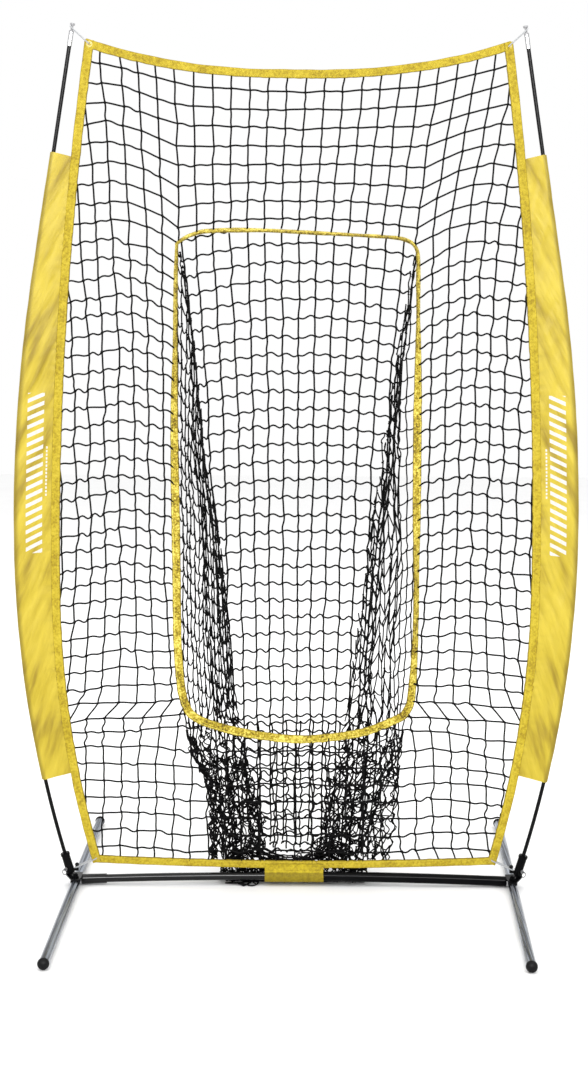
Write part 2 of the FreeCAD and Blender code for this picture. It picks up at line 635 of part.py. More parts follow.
def make_pocket():
    """The ball pocket: a back sheet that slopes away, two gussets and a gathered bottom."""
    front = NET_Y + 3.5
    back = NET_Y + POCKET_DEPTH
    top_half = ZONE_HALF - 6
    outline = [Vec(-top_half, front, ZONE_TOP_Z - 8), Vec(top_half, front, ZONE_TOP_Z - 8),
               Vec(POCKET_LOW_HALF, back, POCKET_LOW_Z), Vec(-POCKET_LOW_HALF, back, POCKET_LOW_Z)]
    sheet = Part.Face(Part.makePolygon(outline + outline[:1]))
    save("pocket_back", sheet.extrude(Vec(0, 2, 0)))

    gusset = [Vec(top_half, front, ZONE_TOP_Z - 12), Vec(top_half, front, ZONE_CORNER_Z - 10),
              Vec(POCKET_LOW_HALF, back, POCKET_LOW_Z)]
    flap = Part.Face(Part.makePolygon(gusset + gusset[:1])).extrude(Vec(-2, -0.3, 0))
    save_pair("pocket_side", flap.cut(sheet.extrude(Vec(0, 30, 0))))

    heap_half = POCKET_LOW_HALF + 20
    heap = Part.makeBox(2 * heap_half, POCKET_DEPTH + 18 - HEAP_FRONT, POCKET_LOW_Z - 1 - HEAP_LOW_Z,
                        Vec(-heap_half, NET_Y + HEAP_FRONT, HEAP_LOW_Z))
    save("pocket_heap", heap.makeFillet(HEAP_ROUND, heap.Edges))


def make_bar_tab():
    """Hook-and-loop tab, sewn to the bottom binding and wrapped round the bar."""
    wrap = bar_tube(-TAB_HALF, TAB_HALF, TAB_R, TAB_BORE_R)
    middle_z = bar_z(0)
    skirts = []
    for y in (NET_Y - 4.6, NET_Y + 2.6):
        skirts.append(Part.makeBox(2 * TAB_HALF, 2.0, 19, Vec(-TAB_HALF, y, middle_z + TAB_R - 1.8)))
    skirt = skirts[0].fuse(skirts[1])
    save("bar_tab", wrap.fuse(skirt.cut(bar_rod(-TAB_HALF - 5, TAB_HALF + 5, TAB_BORE_R))))


# ---- corner cords --------------------------------------------------------------------
def cord_loop(a, b, radius, cord_r):
    """A closed elastic loop round two points, lying in the plane of Y and their line."""
    way = (b - a)
    length = way.Length
    way.normalize()
    normal = way.cross(DEPTH)
    runs = []
    for sign in (-1, 1):
        runs.append(rod(a + DEPTH * (sign * radius), way, length, cord_r))
    for centre, start in ((a, a + DEPTH * radius), (b, b - DEPTH * radius)):
        section = Part.Face(Part.Wire(Part.makeCircle(cord_r, start, way)))
        runs.append(section.revolve(centre, normal, 180))
    return runs[0].fuse(runs[1:])


def make_cords():
    top, low = eyelet_places()
    neck = Vec(pole_x(TIP_FERRULE_Z[1]), NET_Y, TIP_FERRULE_Z[1]) + LEAN_IN * 10
    pull = (top - neck).normalize()
    save_pair("top_cord", cord_loop(neck + pull * 0.3, top - pull * LOOP_R, LOOP_R, CORD_R))
    hook = HOOK_FOOT + Vec(HOOK_OUT, 0, 5.2)
    pull = (low - hook).normalize()
    save_pair("bottom_cord", cord_loop(hook + pull * 0.3, low - pull * LOOP_R, LOOP_R, CORD_R))


os.makedirs("parts", exist_ok=True)
make_base_bar()
make_hubs()
make_sockets()
make_pull_pins()
make_legs()
make_poles()
make_bindings()
make_net_panels()
make_sleeves()
make_pocket()
make_bar_tab()
make_cords()
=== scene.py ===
import math

import bpy
import numpy as np
from mathutils import Matrix, Vector, noise


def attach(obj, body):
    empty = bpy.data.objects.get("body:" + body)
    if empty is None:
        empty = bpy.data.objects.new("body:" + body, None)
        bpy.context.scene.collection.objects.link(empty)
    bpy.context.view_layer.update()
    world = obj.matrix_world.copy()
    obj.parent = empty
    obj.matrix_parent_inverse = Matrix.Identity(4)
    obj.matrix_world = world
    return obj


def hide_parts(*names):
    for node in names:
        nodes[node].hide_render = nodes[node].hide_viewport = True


# Pitching target net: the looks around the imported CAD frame. Metres, the CAD's frame:
# X along the base bar, -Y the pitcher's side, +Z up, origin on the ground.

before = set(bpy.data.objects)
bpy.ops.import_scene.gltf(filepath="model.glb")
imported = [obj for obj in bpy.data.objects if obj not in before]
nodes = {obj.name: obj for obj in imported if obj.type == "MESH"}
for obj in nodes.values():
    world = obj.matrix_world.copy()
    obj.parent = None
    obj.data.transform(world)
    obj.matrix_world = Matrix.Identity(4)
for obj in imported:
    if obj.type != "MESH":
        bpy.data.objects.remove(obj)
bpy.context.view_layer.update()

CELL = 0.04445            # side of one square of the netting
CORD_R = 0.0023           # front netting and the pocket's back wall
GUSSET_CORD_R = 0.0018
HEAP_CORD_R = 0.0017
NET_Y = 0.03              # plane of the bar, the poles and the front netting
UP = np.array([0, 0, 1.0])
ACROSS = np.array([1.0, 0, 0])
BACK = np.array([0, 1.0, 0])
SIDES = ("left", "right")


def clamp(value, low=0.0, high=1.0):
    return min(max(value, low), high)


def bumps(*place):
    """Smooth noise at a place, about -1 to 1."""
    return noise.noise(place)


# ---- curves shared with the CAD source ----
POLE_MAX_X = 0.694
POLE_MAX_Z = 0.87
POLE_LOW_RADIUS = 2.94
POLE_HIGH_RADIUS = 4.03
POLE_LEAN = math.radians(9.5)
POLE_TURN_Z = POLE_MAX_Z + POLE_HIGH_RADIUS * math.sin(POLE_LEAN)
POLE_TURN_X = POLE_MAX_X - POLE_HIGH_RADIUS * (1 - math.cos(POLE_LEAN))

BORDER_MAX_X = 0.611
BORDER_MAX_Z = 0.76
BORDER_LOW_RADIUS = 2.625
BORDER_HIGH_RADIUS = 8.925
BORDER_WIDTH = 0.0225     # of the folded tape, half of its flat width
BORDER_LEVEL_WIDTH = 0.0205   # along the top and the bottom
# along the top and the bottom: height in the middle, rise to the corner, half length
BORDER_TOP = (2.029, 0.0705, 0.508)
BORDER_LOW = (0.0455, 0.0125, 0.512)


def pole_x(z):
    z = np.asarray(z, float)
    bend = np.where(z > POLE_MAX_Z, POLE_HIGH_RADIUS, POLE_LOW_RADIUS)
    low = POLE_MAX_X - bend + np.sqrt(bend ** 2 - np.minimum((z - POLE_MAX_Z) ** 2, bend ** 2))
    return np.where(z > POLE_TURN_Z, POLE_TURN_X - (z - POLE_TURN_Z) * math.tan(POLE_LEAN), low)


def border_x(z, inset=0.0):
    z = np.asarray(z, float)
    bend = np.where(z > BORDER_MAX_Z, BORDER_HIGH_RADIUS, BORDER_LOW_RADIUS)
    return BORDER_MAX_X - bend + np.sqrt((bend - inset) ** 2 - (z - BORDER_MAX_Z) ** 2)


def border_top_z(x, inset=0.0):
    middle, rise, half = BORDER_TOP
    return middle - inset + rise * np.abs(np.asarray(x, float) / half) ** 2.4


def border_low_z(x, inset=0.0):
    middle, rise, half = BORDER_LOW
    return middle + inset + rise * np.abs(np.asarray(x, float) / half) ** 1.8


def through(stations, at):
    """Straight interpolation through (position, value) stations."""
    xs, ys = zip(*sorted(stations))
    return np.interp(at, xs, ys)


def smooth_loop(points, step):
    """A closed smooth curve through points, sampled about every step."""
    points = np.array(points, float)
    n = len(points)
    out = []
    for k in range(n):
        a, b, c, d = (points[(k + m) % n] for m in (-1, 0, 1, 2))
        count = max(2, int(np.linalg.norm(c - b) / step))
        t = np.linspace(0, 1, count, endpoint=False)[:, None]
        out.append(0.5 * (2 * b + (c - a) * t + (2 * a - 5 * b + 4 * c - d) * t ** 2
                          + (3 * b - a - 3 * c + d) * t ** 3))
    return np.concatenate(out)


def inside_loop(x, z, loop):
    """Which of the points (x, z) lie inside a closed loop."""
    inside = np.zeros(np.shape(x), bool)
    for (xa, za), (xb, zb) in zip(loop, np.roll(loop, -1, axis=0)):
        if za == zb:
            continue
        crosses = (za > z) != (zb > z)
        inside ^= crosses & (x < (xb - xa) * (z - za) / (zb - za) + xa)
    return inside


def unit(v):
    return v / np.maximum(np.linalg.norm(v, axis=-1, keepdims=True), 1e-12)


# The strike-zone binding hangs a little unevenly: its centre line, from the top left round.
ZONE_POINTS = [
    (-0.2925, 1.619), (-0.2935, 1.613), (-0.2955, 1.56), (-0.298, 1.4), (-0.301, 1.15),
    (-0.298, 0.85), (-0.296, 0.64), (-0.29, 0.545), (-0.279, 0.482), (-0.25, 0.44),
    (-0.15, 0.406), (0.003, 0.386), (0.155, 0.401), (0.255, 0.438), (0.283, 0.462),
    (0.294, 0.51), (0.301, 0.68), (0.299, 0.95), (0.296, 1.35), (0.2935, 1.53),
    (0.2925, 1.59), (0.285, 1.6145), (0.27, 1.6265), (0.238, 1.635), (0.15, 1.6405),
    (0.054, 1.645), (-0.092, 1.651), (-0.214, 1.6487), (-0.256, 1.64), (-0.278, 1.6295)]
ZONE_LOOP = smooth_loop(ZONE_POINTS, 0.006)


# ---- making meshes ----
def make_mesh(name, verts, faces, uvs=None):
    """One object from points and faces; uvs has one pair for each face corner."""
    mesh = bpy.data.meshes.new(name)
    mesh.from_pydata(np.asarray(verts).tolist(), [], faces)
    if uvs is not None:
        layer = mesh.uv_layers.new(name="UVMap")
        layer.data.foreach_set("uv", np.asarray(uvs, np.float32).ravel())
    mesh.polygons.foreach_set("use_smooth", [True] * len(mesh.polygons))
    mesh.update()
    obj = bpy.data.objects.new(name, mesh)
    bpy.context.scene.collection.objects.link(obj)
    return obj


def ring_quads(rows, around, wrap):
    """Quads of a grid of points; with wrap, each row closes on itself."""
    r = np.arange(rows - 1)[:, None]
    c = np.arange(around if wrap else around - 1)[None, :]
    n = (c + 1) % around
    return np.stack([r * around + c, r * around + n, (r + 1) * around + n, (r + 1) * around + c], -1)


def grid_mesh(name, grid, uv):
    """A surface from a grid of points (rows, columns, 3) with uv (rows, columns, 2)."""
    quads = ring_quads(*grid.shape[:2], False).reshape(-1, 4)
    return make_mesh(name, grid.reshape(-1, 3), quads.tolist(), uv.reshape(-1, 2)[quads])


def lengths_along(points):
    """Distance from the first point to each point of a path."""
    return np.concatenate([[0], np.cumsum(np.linalg.norm(np.diff(points, axis=0), axis=1))])


def cord_parts(path, radius, sides):
    """Rings of points round a path, and the quads and uvs that join them."""
    tangent = unit(np.gradient(path, axis=0))
    reference = np.eye(3)[int(np.argmin(np.abs(tangent).mean(axis=0)))]
    across = unit(np.cross(tangent, reference))
    other = np.cross(tangent, across)
    turn = np.linspace(0, 2 * math.pi, sides, endpoint=False)
    cos, sin = np.cos(turn)[None, :, None], np.sin(turn)[None, :, None]
    ring = across[:, None] * cos + other[:, None] * sin
    verts = path[:, None] + radius * ring
    quads = ring_quads(len(path), sides, True)
    along = lengths_along(path)
    u0, v0 = np.broadcast_arrays(along[:-1, None], np.arange(sides)[None, :] / sides)
    u1, v1 = np.broadcast_arrays(along[1:, None], v0 + 1 / sides)
    uvs = np.stack([np.stack(pair, -1) for pair in ((u0, v0), (u0, v1), (u1, v1), (u1, v0))], 2)
    return verts.reshape(-1, 3), quads.reshape(-1, 4), uvs.reshape(-1, 4, 2)


GOLD = (1 + math.sqrt(5)) / 2
KNOT_VERTS = unit(np.array([
    (-1, GOLD, 0), (1, GOLD, 0), (-1, -GOLD, 0), (1, -GOLD, 0),
    (0, -1, GOLD), (0, 1, GOLD), (0, -1, -GOLD), (0, 1, -GOLD),
    (GOLD, 0, -1), (GOLD, 0, 1), (-GOLD, 0, -1), (-GOLD, 0, 1)]))
KNOT_FACES = [
    (0, 11, 5), (0, 5, 1), (0, 1, 7), (0, 7, 10), (0, 10, 11), (1, 5, 9), (5, 11, 4), (11, 10, 2),
    (10, 7, 6), (7, 1, 8), (3, 9, 4), (3, 4, 2), (3, 2, 6), (3, 6, 8), (3, 8, 9), (4, 9, 5),
    (2, 4, 11), (6, 2, 10), (8, 6, 7), (9, 8, 1)]


def netting(name, paths, knots, rng, radius=CORD_R, sides=5):
    """Cords along paths with a knot at each crossing, as one object."""
    verts, faces, uvs = [], [], []
    start = 0
    for path in paths:
        if len(path) < 2:
            continue
        v, q, w = cord_parts(path, radius, sides)
        verts.append(v)
        faces += (q + start).tolist()
        uvs.append(w.reshape(-1, 2))
        start += len(v)
        for end in (0, len(path) - 1):
            cap = [start - len(v) + end * sides + k for k in range(sides)]
            faces.append(cap if end else cap[::-1])
            uvs.append(np.zeros((sides, 2)))
    for knot in knots:
        turn = rng.uniform(0, math.pi)
        c, s = math.cos(turn), math.sin(turn)
        size = radius * rng.uniform(1.45, 1.75)
        shape = KNOT_VERTS * np.array([size * 1.15, size * 0.85, size])
        shape = shape @ np.array([[c, 0, s], [0, 1, 0], [-s, 0, c]])
        verts.append(shape + knot)
        faces += [[a + start for a in f] for f in KNOT_FACES]
        uvs.append(np.tile([(0.0, 0.0), (0.002, 0.3), (0.002, 0.6)], (len(KNOT_FACES), 1)))
        start += len(KNOT_VERTS)
    return make_mesh(name, np.concatenate(verts), faces, np.concatenate(uvs))


# ---- materials ----
def new_material(name, specular=0.5, **sockets):
    """A principled material; uniform values are set directly on the shader's sockets."""
    material = bpy.data.materials.new(name)
    material.use_nodes = True
    tree = material.node_tree
    shader = tree.nodes["Principled BSDF"]
    shader.inputs["Specular IOR Level"].default_value = specular
    for key, value in sockets.items():
        shader.inputs[key.replace("_", " ")].default_value = value
    return material, tree, shader


def feed(tree, socket, value):
    """Set a socket, or link it to another node's output."""
    if isinstance(value, bpy.types.NodeSocket):
        tree.links.new(value, socket)
    elif isinstance(value, tuple) and socket.type == "RGBA":
        socket.default_value = (*value, 1)
    else:
        socket.default_value = value


def add_node(tree, kind, **sockets):
    node = tree.nodes.new("ShaderNode" + kind)
    for key, value in sockets.items():
        feed(tree, node.inputs[key], value)
    return node


def coordinates(tree, kind="Object", scale=(1, 1, 1), rotation=(0, 0, 0)):
    place = add_node(tree, "TexCoord").outputs[kind]
    return add_node(tree, "Mapping", Vector=place, Scale=scale, Rotation=rotation).outputs["Vector"]


def noise_field(tree, vector, scale, detail=3.0, rough=0.55):
    node = add_node(tree, "TexNoise", Vector=vector, Scale=scale, Detail=detail, Roughness=rough)
    return node.outputs["Fac"]


def wave_field(tree, vector, scale, direction="X"):
    node = add_node(tree, "TexWave", Vector=vector, Scale=scale, Detail=1.0)
    node.bands_direction = direction
    return node.outputs["Fac"]


def ramp(tree, value, stops):
    """Colours along a value; stops are (position, colour)."""
    node = add_node(tree, "ValToRGB", Fac=value)
    elements = node.color_ramp.elements
    while len(elements) < len(stops):
        elements.new(0.5)
    for element, (position, colour) in zip(elements, stops):
        element.position = position
        element.color = (*colour, 1)
    return node.outputs["Color"]


def grey(value):
    return (value, value, value)


def maths(tree, operation, a, b=None, limit=False):
    node = add_node(tree, "Math")
    node.operation = operation
    node.use_clamp = limit
    feed(tree, node.inputs[0], a)
    if b is not None:
        feed(tree, node.inputs[1], b)
    return node.outputs[0]


def times(tree, a, b):
    return maths(tree, "MULTIPLY", a, b)


def mixed(tree, factor, a, b):
    node = add_node(tree, "Mix")
    node.data_type = "RGBA"
    for socket, value in ((node.inputs[0], factor), (node.inputs[6], a), (node.inputs[7], b)):
        feed(tree, socket, value)
    return node.outputs[2]


def bump(tree, shader, height, distance, strength=1.0, before=None):
    node = add_node(tree, "Bump", Distance=distance, Strength=strength, Height=height)
    if before is not None:
        feed(tree, node.inputs["Normal"], before)
    feed(tree, shader.inputs["Normal"], node.outputs["Normal"])
    return node.outputs["Normal"]


def grey_ramp(tree, value, low, high, stops=(0.3, 0.7)):
    return ramp(tree, value, [(stops[0], grey(low)), (stops[1], grey(high))])


def coated(name, colours, rough, specular, scale=160.0, bump_m=0.00004):
    """Paint or moulding with slight mottling, uneven gloss and fine texture."""
    material, tree, shader = new_material(name, specular)
    vector = coordinates(tree)
    fine = noise_field(tree, vector, scale)
    broad = noise_field(tree, vector, scale / 12, 2.0)
    base = ramp(tree, broad, [(0.3, colours[0]), (0.7, colours[1])])
    feed(tree, shader.inputs["Base Color"], base)
    feed(tree, shader.inputs["Roughness"], grey_ramp(tree, fine, *rough))
    bump(tree, shader, fine, bump_m)
    return material


def streaked_metal(name, colours, rough, scale, streak):
    """Drawn or brushed metal: streaks run along one axis."""
    material, tree, shader = new_material(name, Metallic=1.0)
    vector = coordinates(tree, scale=streak)
    lines = noise_field(tree, vector, scale, 4.0, 0.6)
    feed(tree, shader.inputs["Base Color"], ramp(tree, lines, colours))
    gloss = grey_ramp(tree, lines, *rough, stops=(0.3, 0.75))
    feed(tree, shader.inputs["Roughness"], gloss)
    bump(tree, shader, lines, 0.00003)
    return material


def twine(name, dark, light, turns):
    """Twisted cord: strands wind round it, from the piece's own uvs."""
    material, tree, shader = new_material(name, specular=0.06, Roughness=0.6)
    vector = coordinates(tree, "UV", (turns, 3.0, 1))
    strands = wave_field(tree, vector, 0.5, "DIAGONAL")
    fuzz = noise_field(tree, coordinates(tree), 900, 2.0)
    feed(tree, shader.inputs["Base Color"], ramp(tree, fuzz, [(0.3, dark), (0.75, light)]))
    before = bump(tree, shader, strands, 0.0004, 0.8)
    bump(tree, shader, fuzz, 0.00015, 0.5, before)
    return material


TAPE_UV = 0.025           # the uvs of a folded tape's halves run from 0 at the fold to this
STITCH_AT = 0.02          # stitch line, from the fold


def webbing(name, colours, pucker):
    """Woven polyester binding: weave, puckers with painted shade in their hollows, and a stitch line near
    each edge, with painted shade along the fold and the open edge.
    The uvs are metres along and across."""
    material, tree, shader = new_material(name, specular=0.2, Sheen_Weight=0.05, Roughness=0.75)
    flat = coordinates(tree, "UV")
    warp = wave_field(tree, flat, 130.0, "X")
    weft = wave_field(tree, flat, 130.0, "Y")
    weave = times(tree, warp, weft)
    space = coordinates(tree)
    puckers_and_shade = noise_field(tree, space, pucker, 4.0, 0.62)
    wide = noise_field(tree, space, pucker / 7, 2.0)
    both = maths(tree, "ADD", times(tree, puckers_and_shade, 0.65), times(tree, wide, 0.35))
    # the colour follows mostly the puckers: painted shade in their hollows, lighter on their crests, with a
    # broad tone that varies at random
    base = ramp(tree, both, [(0.38, colours[0]), (0.5, colours[1]), (0.62, colours[2])])
    axes = add_node(tree, "SeparateXYZ", Vector=flat).outputs
    size = maths(tree, "ABSOLUTE", axes["Y"])
    off_line = maths(tree, "ABSOLUTE", maths(tree, "SUBTRACT", size, STITCH_AT))
    line = maths(tree, "LESS_THAN", off_line, 0.0006)
    beat = maths(tree, "FRACT", times(tree, axes["X"], 280.0))
    stitch = times(tree, line, maths(tree, "GREATER_THAN", beat, 0.3))
    thread = tuple(min(1.0, c * 1.15) for c in colours[2])
    # painted shade along the fold and along the open edge of the tape, as a darker rim
    fold = maths(tree, "LESS_THAN", size, 0.0016)
    painted_edge_shade = maths(tree, "ADD", fold, maths(tree, "GREATER_THAN", size, 0.0231), limit=True)
    with_painted_shade = mixed(tree, times(tree, painted_edge_shade, 0.55), base, tuple(c * 0.4 for c in colours[0]))
    feed(tree, shader.inputs["Base Color"], mixed(tree, stitch, with_painted_shade, thread))
    first = bump(tree, shader, puckers_and_shade, 0.0022, 0.8)
    second = bump(tree, shader, weave, 0.0002, 0.5, first)
    bump(tree, shader, stitch, 0.0004, 0.8, second)
    return material


# The sleeves' plain mark, in metres across from the binding and along from the sleeve's foot.
MARK_BARS = (0.0235, 0.0635)
MARK_RULE = (0.0125, 0.0165)
MARK_SPAN = (0.575, 0.975)
RULE_SPAN = (MARK_SPAN[0] + 0.14, MARK_SPAN[1] - 0.13)
MARK_WHITE = (0.72, 0.72, 0.69)


def sleeve_cloth(name, colours):
    """Closely woven nylon cloth with soft creases and a plain white mark, with painted shade in the creases,
    round the pole and in the gathered seam.
    The uvs are metres along the sleeve and across it from the binding."""
    material, tree, shader = new_material(name, specular=0.3, Sheen_Weight=0.05, Roughness=0.55)
    flat = coordinates(tree, "UV")
    axes = add_node(tree, "SeparateXYZ", Vector=flat).outputs
    along, across = axes["X"], axes["Y"]
    # creases that lean outwards and up: the noise is stretched along the sleeve and sheared
    leaning = maths(tree, "ADD", across, times(tree, along, 0.42))
    pull = add_node(tree, "CombineXYZ", X=times(tree, along, 0.2), Y=leaning)
    folds = noise_field(tree, pull.outputs[0], 30, 3.0, 0.5)
    broad = noise_field(tree, coordinates(tree), 4.0, 2.0)
    both = maths(tree, "ADD", times(tree, folds, 0.7), times(tree, broad, 0.3))
    # the colour follows mostly the creases: painted shade in their hollows, lighter on their crests
    base = ramp(tree, both, [(0.37, colours[0]), (0.48, colours[1]), (0.6, colours[2])])
    weave = times(tree, wave_field(tree, flat, 320.0, "X"), wave_field(tree, flat, 320.0, "Y"))

    def between(value, span):
        return times(tree, maths(tree, "GREATER_THAN", value, span[0]),
                     maths(tree, "LESS_THAN", value, span[1]))

    # painted shade where the cloth goes round the pole, and painted shadow in the gathered seam
    shade_attribute = add_node(tree, "Attribute")
    shade_attribute.attribute_name = "painted_shade"
    shade_strength = times(tree, shade_attribute.outputs["Fac"], 0.62)
    with_painted_shade = mixed(tree, shade_strength, base, tuple(c * 0.52 for c in colours[0]))

    # the mark: a column of slanted bars, with a thin dashed rule beside it
    slant = maths(tree, "ADD", along, times(tree, across, 0.45))
    beat = maths(tree, "FRACT", times(tree, slant, 46.0))
    block = times(tree, between(across, MARK_BARS), between(along, MARK_SPAN))
    bars = times(tree, block, maths(tree, "LESS_THAN", beat, 0.46))
    dashes = maths(tree, "LESS_THAN", maths(tree, "FRACT", times(tree, along, 110.0)), 0.62)
    rule = times(tree, between(across, MARK_RULE), between(along, RULE_SPAN))
    mark = maths(tree, "ADD", bars, times(tree, rule, dashes), limit=True)
    wear = noise_field(tree, coordinates(tree), 160, 3.0)
    worn = times(tree, mark, grey_ramp(tree, wear, 0.72, 0.95, stops=(0.3, 0.5)))
    feed(tree, shader.inputs["Base Color"], mixed(tree, worn, with_painted_shade, MARK_WHITE))
    before = bump(tree, shader, folds, 0.01, 0.9)
    bump(tree, shader, weave, 0.00012, 0.35, before)
    return material


def braided(name, dark, light):
    """Fabric-covered elastic."""
    material, tree, shader = new_material(name, specular=0.3, Roughness=0.7, Sheen_Weight=0.2)
    vector = coordinates(tree, rotation=(0.3, 0.7, 0.2))
    braid = times(tree, wave_field(tree, vector, 260.0, "X"), wave_field(tree, vector, 260.0, "Z"))
    feed(tree, shader.inputs["Base Color"], ramp(tree, braid, [(0.1, dark), (0.6, light)]))
    bump(tree, shader, braid, 0.0003)
    return material


def assign(names, material):
    for name in names:
        slots = nodes[name].material_slots
        if not slots:
            nodes[name].data.materials.append(material)
        for slot in slots:
            slot.material = material


def both_sides(*stems):
    return [stem + "_" + side for stem in stems for side in SIDES]


TRIM_COLOURS = ((0.33, 0.228, 0.008), (0.495, 0.368, 0.016), (0.61, 0.47, 0.034))
ZONE_COLOURS = ((0.105, 0.064, 0.004), (0.475, 0.35, 0.017), (0.93, 0.775, 0.16))
TAB_COLOURS = ((0.32, 0.232, 0.005), (0.465, 0.348, 0.007), (0.58, 0.45, 0.014))
CLOTH_COLOURS = ((0.315, 0.218, 0.006), (0.515, 0.385, 0.018), (0.62, 0.477, 0.034))

BLACK = ((0.0015, 0.0015, 0.002), (0.004, 0.004, 0.0045))
MOULDED_BLACK = ((0.002, 0.002, 0.0025), (0.006, 0.006, 0.0065))
MOULDED_GREY = ((0.26, 0.26, 0.27), (0.36, 0.36, 0.37))
ENAMEL = ((0.44, 0.32, 0.022), (0.54, 0.41, 0.035))

black_steel = coated("black_paint", BLACK, (0.1, 0.18), 0.05)
glossy_steel = coated("black_gloss_paint", BLACK, (0.08, 0.14), 0.26)
black_glass = coated("black_fibreglass", BLACK, (0.2, 0.32), 0.09, scale=240.0)
black_plastic = coated("black_moulding", MOULDED_BLACK, (0.42, 0.6), 0.1, scale=320.0, bump_m=0.00008)
grey_plastic = coated("grey_moulding", MOULDED_GREY, (0.3, 0.5), 0.4, scale=320.0)
yellow_enamel = coated("yellow_enamel", ENAMEL, (0.3, 0.45), 0.4, scale=300.0)
leg_steel = streaked_metal(
    "leg_steel", [(0.34, (0.03, 0.034, 0.042)), (0.49, (0.12, 0.135, 0.162)), (0.64, (0.4, 0.435, 0.49))],
    (0.2, 0.36), 90, (1.8, 0.035, 1.8))
zinc_steel = streaked_metal("zinc_plate", [(0.3, (0.25, 0.25, 0.26)), (0.7, (0.45, 0.45, 0.46))],
                            (0.25, 0.45), 260, (1, 1, 1))
spring_steel = streaked_metal("spring_steel", [(0.3, (0.25, 0.25, 0.26)), (0.7, (0.4, 0.4, 0.41))],
                              (0.25, 0.4), 200, (0.3, 1, 1))
aluminium = streaked_metal(
    "bright_aluminium", [(0.3, (0.16, 0.165, 0.17)), (0.5, (0.42, 0.425, 0.43)), (0.72, (0.72, 0.72, 0.73))],
    (0.18, 0.4), 330, (1.6, 1.6, 0.1))
elastic = braided("white_elastic", (0.36, 0.37, 0.38), (0.66, 0.67, 0.68))
net_twine = twine("black_twine", (0.0012, 0.0012, 0.0013), (0.005, 0.005, 0.0052), 260.0)
trim_web = webbing("yellow_webbing", TRIM_COLOURS, 170.0)
zone_web = webbing("yellow_zone_webbing", ZONE_COLOURS, 210.0)
tab_web = webbing("yellow_tab_webbing", TAB_COLOURS, 120.0)
cloth = sleeve_cloth("yellow_nylon", CLOTH_COLOURS)

assign(["base_bar_right", "hub_right", "pivot_washers", "pivot_nuts"]
       + both_sides("pole_socket", "pivot_bolt", "pull_ring"), black_steel)
assign(["base_bar_left", "hub_left"], glossy_steel)
assign(both_sides("leg_tube"), leg_steel)
assign(both_sides("pull_pin") + ["bar_rivets", "bar_snap_button"], zinc_steel)
assign(["bar_snap_spring"], spring_steel)
assign(both_sides("tip_ferrule", "pole_ferrules"), aluminium)
assign(["corner_eyelets"], yellow_enamel)
assign(both_sides("tip_cap"), grey_plastic)
assign(both_sides("pole_lower", "pole_middle", "pole_upper"), black_glass)
assign(both_sides("leg_saddle", "leg_cap_front", "leg_cap_rear") + ["corner_hooks", "bar_bushings"],
       black_plastic)
assign(both_sides("top_cord", "bottom_cord"), elastic)


def place_piece(piece, material, slot, *stands_for):
    """Give a piece its material and its body, and hide the CAD nodes that it stands for. The slot is not
    used.
    """
    piece.data.materials.append(material)
    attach(piece, "frame")
    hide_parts(*stands_for)


# ---- netting ----
STEPS = 7                 # points along one side of a cell


def wavy_span(a, b, slack_dir, kink, rng, taut):
    """Points from knot a up to knot b: the slack of a cell's side makes an S-shaped wave."""
    span = np.linalg.norm(b - a)
    spare = clamp(CELL / max(span, 1e-6) - 1, 0.0, 0.45)
    size = (0.72 * span / math.pi * math.sqrt(spare) + taut) * kink * rng.uniform(0.7, 1.25)
    s = np.linspace(0, 1, STEPS, endpoint=False)
    wave = np.sin(2 * math.pi * s ** 1.1) * size - np.sin(math.pi * s) * 0.25 * size
    return a + (b - a) * s[:, None] + np.outer(wave, slack_dir)


def hanging_span(a, b, rng, share):
    """Points from knot a up to knot b: a side of a cell that hangs in a loop."""
    span = np.linalg.norm(b - a)
    drop = share * math.sqrt(max(CELL ** 2 - span ** 2, 0.0)) * rng.uniform(0.8, 1.1)
    s = np.linspace(0, 1, STEPS + 1, endpoint=False)
    sag = 4 * s * (1 - s)
    lean = rng.uniform(-0.15, 0.15) * drop
    points = a + (b - a) * s[:, None]
    points[:, 2] -= sag * drop
    points[:, 0] += sag * lean
    points[:, 1] += sag * rng.uniform(-0.2, 0.2) * drop
    return points


def runs_of(path, keep):
    """The stretches of a path whose points are kept."""
    out, current = [], []
    for point, good in zip(path, keep):
        if good:
            current.append(point)
        elif current:
            out.append(np.array(current))
            current = []
    if current:
        out.append(np.array(current))
    return [run for run in out if len(run) > 1]


# Columns of the front netting: where column 7 stands and how far apart the outer ones are.
COLUMN_7 = [
    (2.05, 0.318), (1.65, 0.286), (1.4, 0.293), (0.8, 0.291), (0.482, 0.264), (0.445, 0.292),
    (0.35, 0.306), (0.04, 0.312)]
OUTER_PITCH = [
    (2.05, 0.044), (1.65, 0.0405), (1.4, 0.0365), (0.8, 0.0364), (0.482, 0.0448), (0.445, 0.0473),
    (0.35, 0.0445), (0.04, 0.0446)]
# How far the rows of the middle part hang below their outer ends, and how much each column of
# the lower right part steps down.
ROW_DROP = [
    (9, 0.054), (12, 0.041), (15, 0.031), (18, 0.022), (24, 0.02), (31, 0.006), (36, -0.008),
    (37, -0.012)]
RIGHT_DROP = [
    (36, 0.0), (37, 0.0045), (38, 0.0062), (39, 0.0064), (40, 0.0052), (41, 0.0048), (42, 0.002),
    (46, 0.0015)]
CREASE_ROW = 8            # level with the top of the opening
FOLD_ROW = 36             # level with the opening's foot
ROWS = 46
COLUMNS = 16              # on each side of the middle one
ZONE_COLUMN = 7           # this one stands beside the opening
CREST_COLUMN = 11         # the rows hang highest here
BORDER_INSET = 0.012      # the cords end this far inside the border binding


